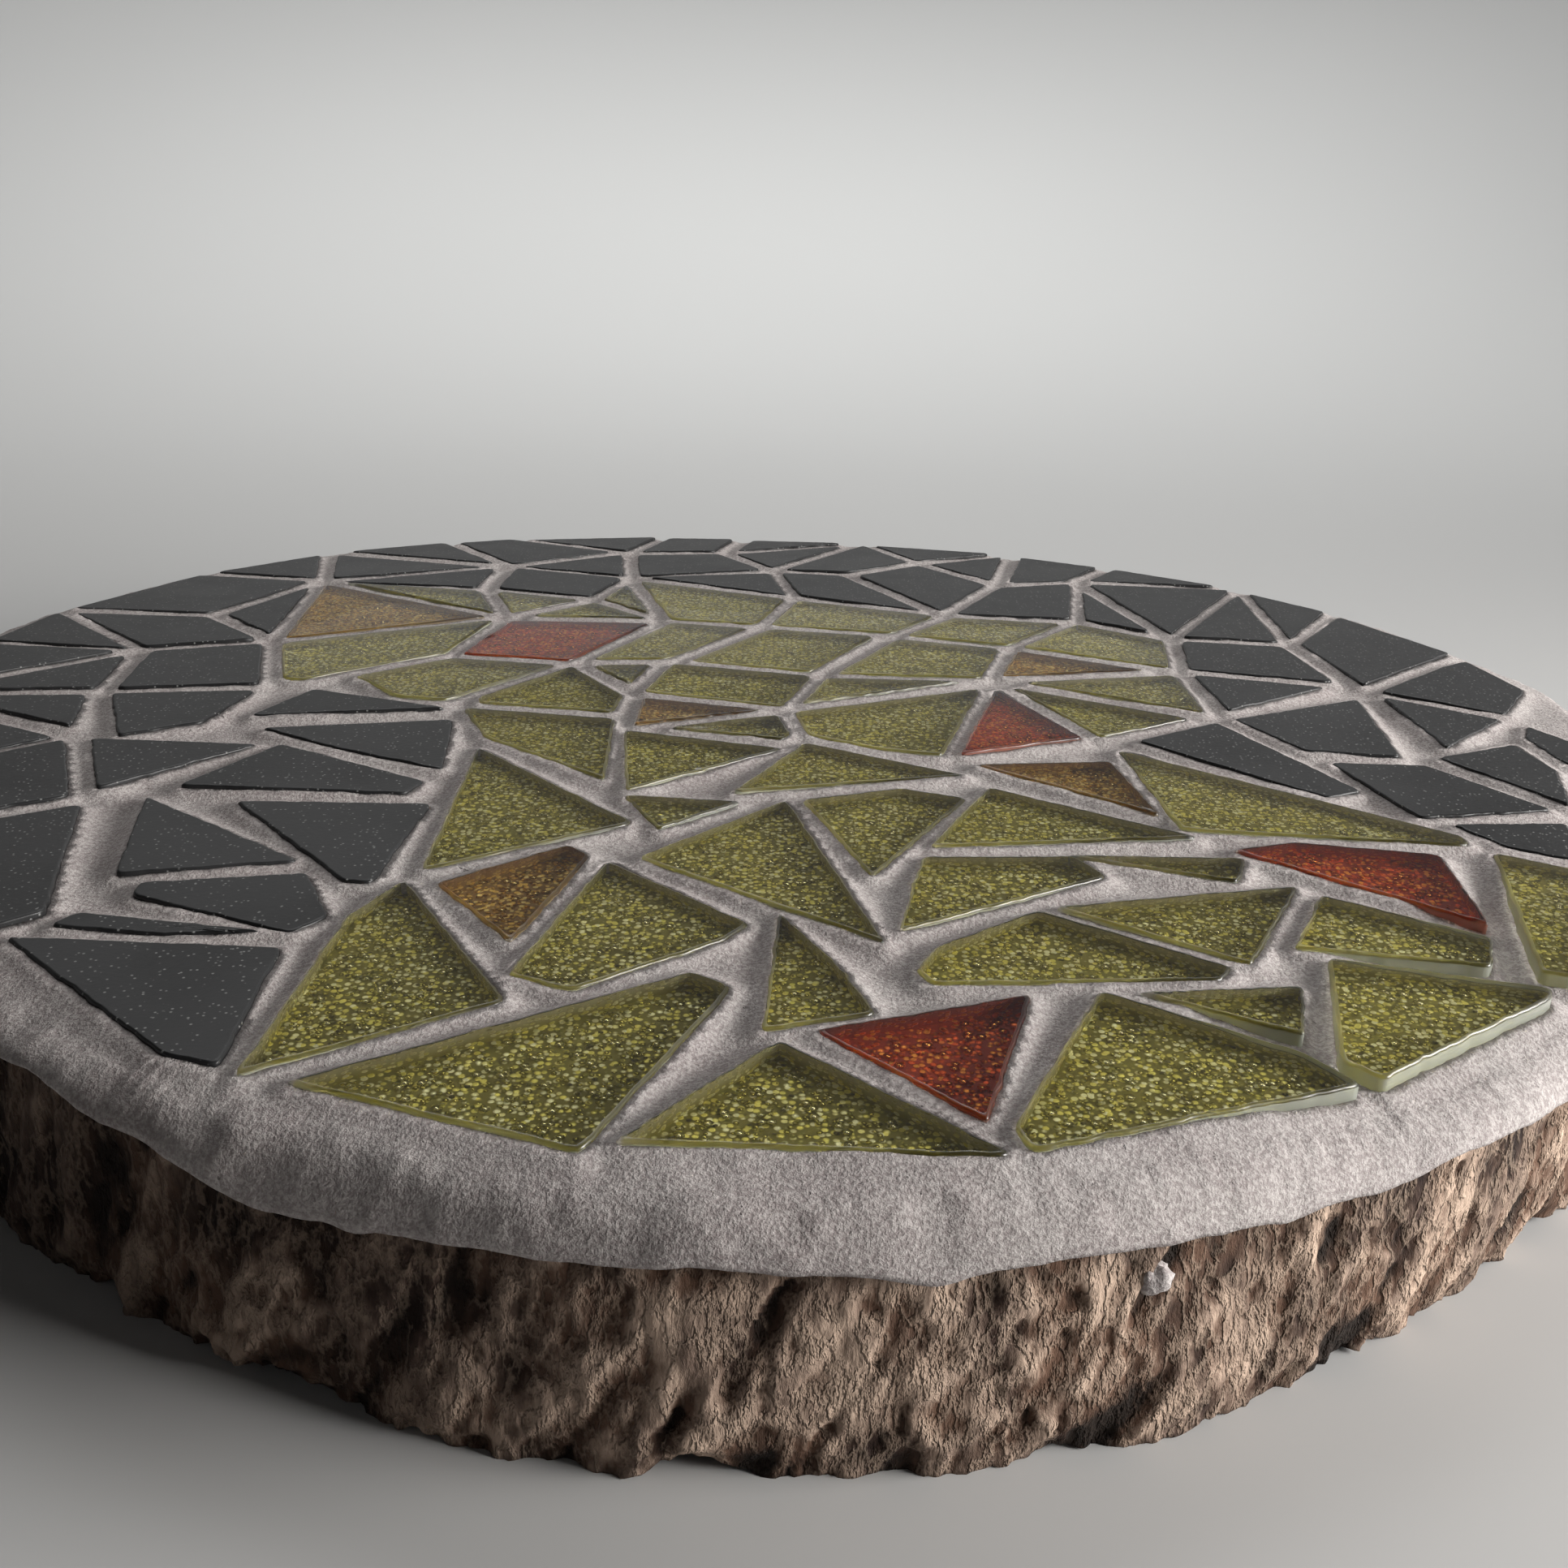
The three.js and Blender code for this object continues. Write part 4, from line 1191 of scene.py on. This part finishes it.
def build_floor():
    """A pale round floor that curves up into a wall, as a disc of rings: flat in the middle, then a
    quarter round of radii flat + bend * sin(t) and heights bend * (1 - cos(t)), then upright."""
    flat, bend, wall = 0.32, 0.95, 0.9
    rise = np.linspace(0, math.pi / 2, 40)[1:]
    shares = np.array((0.02, 0.2, 0.5, 1.0))
    radius = np.concatenate((flat * shares, flat + bend * np.sin(rise), [flat + bend]))[:, None]
    height = np.concatenate((0 * shares, bend * (1 - np.cos(rise)), [bend + wall]))[:, None]
    turn = np.arange(96) * 2 * math.pi / 96
    rings = np.stack((np.cos(turn) * radius, np.sin(turn) * radius, height + 0 * turn), axis=-1)
    points, (quads, middle, _) = ring_stack(rings)
    finish = Finish("floor", {"Roughness": 0.7, "Specular IOR Level": 0.3})
    tone = finish.noise(0.5, detail=2.0)
    finish.paint("Base Color", finish.mix(tone, colour(0.50, 0.495, 0.49), settings("stage").floor))
    mesh = bpy.data.meshes.new("floor")
    mesh.from_pydata(points, [], quads[:, ::-1].tolist() + middle.tolist())
    mesh.materials.append(finish.material)
    mesh.polygons.foreach_set("use_smooth", np.ones(len(mesh.polygons), dtype=bool))
    floor = bpy.data.objects.new("floor", mesh)
    bpy.context.scene.collection.objects.link(floor)


class MOSAIC_OT_stage(bpy.types.Operator):
    """Builds the floor, the lights and the camera"""

    bl_idname = "mosaic.stage"
    bl_label = "Stage"

    def execute(self, context):
        stage = settings("stage")
        scene = context.scene
        build_floor()
        warm, cool, plain = (1.0, 0.985, 0.96), (0.98, 1.0, 0.99), (1.0, 1.0, 1.0)
        area_light("window", (0.42, -0.13, 0.13), (0.05, -0.05, 0), (0.24, 0.16), stage.key, 80, warm)
        area_light("side_window", (0.60, 0.22, 0.30), (0, 0, 0), (0.4, 0.4), stage.side, 120, warm)
        area_light("wall_light", (0.0, 0.45, 0.68), (0, 0.60, 0), (0.6, 0.3), stage.wall, 105, cool)
        area_light("soft_box", (0.0, 0.62, 0.80), (0, 0, 0), (1.0, 0.42), stage.box, 180, plain)
        area_light("low_box", (0.0, 0.72, 0.56), (0, 0, 0), (1.3, 0.76), stage.low, 180, plain)
        world = bpy.data.worlds.new("studio")
        world.use_nodes = True
        sky = world.node_tree.nodes["Background"]
        sky.inputs["Color"].default_value = colour(0.97, 0.985, 1.0)
        sky.inputs["Strength"].default_value = stage.sky
        scene.world = world
        camera = bpy.data.cameras.new("camera")
        camera.lens = stage.lens
        camera.sensor_width = 36
        camera.clip_start = 0.005
        holder = bpy.data.objects.new("camera", camera)
        scene.collection.objects.link(holder)
        turn = Matrix.Rotation(math.pi / 2 - stage.pitch, 4, "X") @ Matrix.Rotation(stage.roll, 4, "Z")
        holder.matrix_world = Matrix.Translation(stage.place) @ turn
        scene.camera = holder
        scene.view_settings.view_transform = "Standard"
        return {"FINISHED"}


OPERATORS = (
    MOSAIC_OT_stage, MOSAIC_OT_bark, MOSAIC_OT_grout, MOSAIC_OT_dark_shards, MOSAIC_OT_clear_shards,
)


class MOSAIC_PT_panel(bpy.types.Panel):
    """Lists the panel's pieces in the sidebar"""

    bl_idname = "MOSAIC_PT_panel"
    bl_label = "Mosaic panel"
    bl_space_type = "VIEW_3D"
    bl_region_type = "UI"
    bl_category = "Mosaic"

    def draw(self, context):
        for operator in OPERATORS:
            self.layout.operator(operator.bl_idname)
        for name, group in GROUPS.items():
            box = self.layout.box()
            box.label(text=name.capitalize())
            for key in group.__annotations__:
                box.prop(settings(name), key)


CLASSES = (*GROUPS.values(), *OPERATORS, MOSAIC_PT_panel)


def register():
    for made in CLASSES:
        bpy.utils.register_class(made)
    for name, group in GROUPS.items():
        setattr(bpy.types.Scene, f"mosaic_{name}", PointerProperty(type=group))


def unregister():
    for name in GROUPS:
        delattr(bpy.types.Scene, f"mosaic_{name}")
    for made in reversed(CLASSES):
        bpy.utils.unregister_class(made)


def main():
    register()
    for operator in OPERATORS:
        category, name = operator.bl_idname.split(".")
        getattr(getattr(bpy.ops, category), name)()


if __name__ == "__main__":
    main()
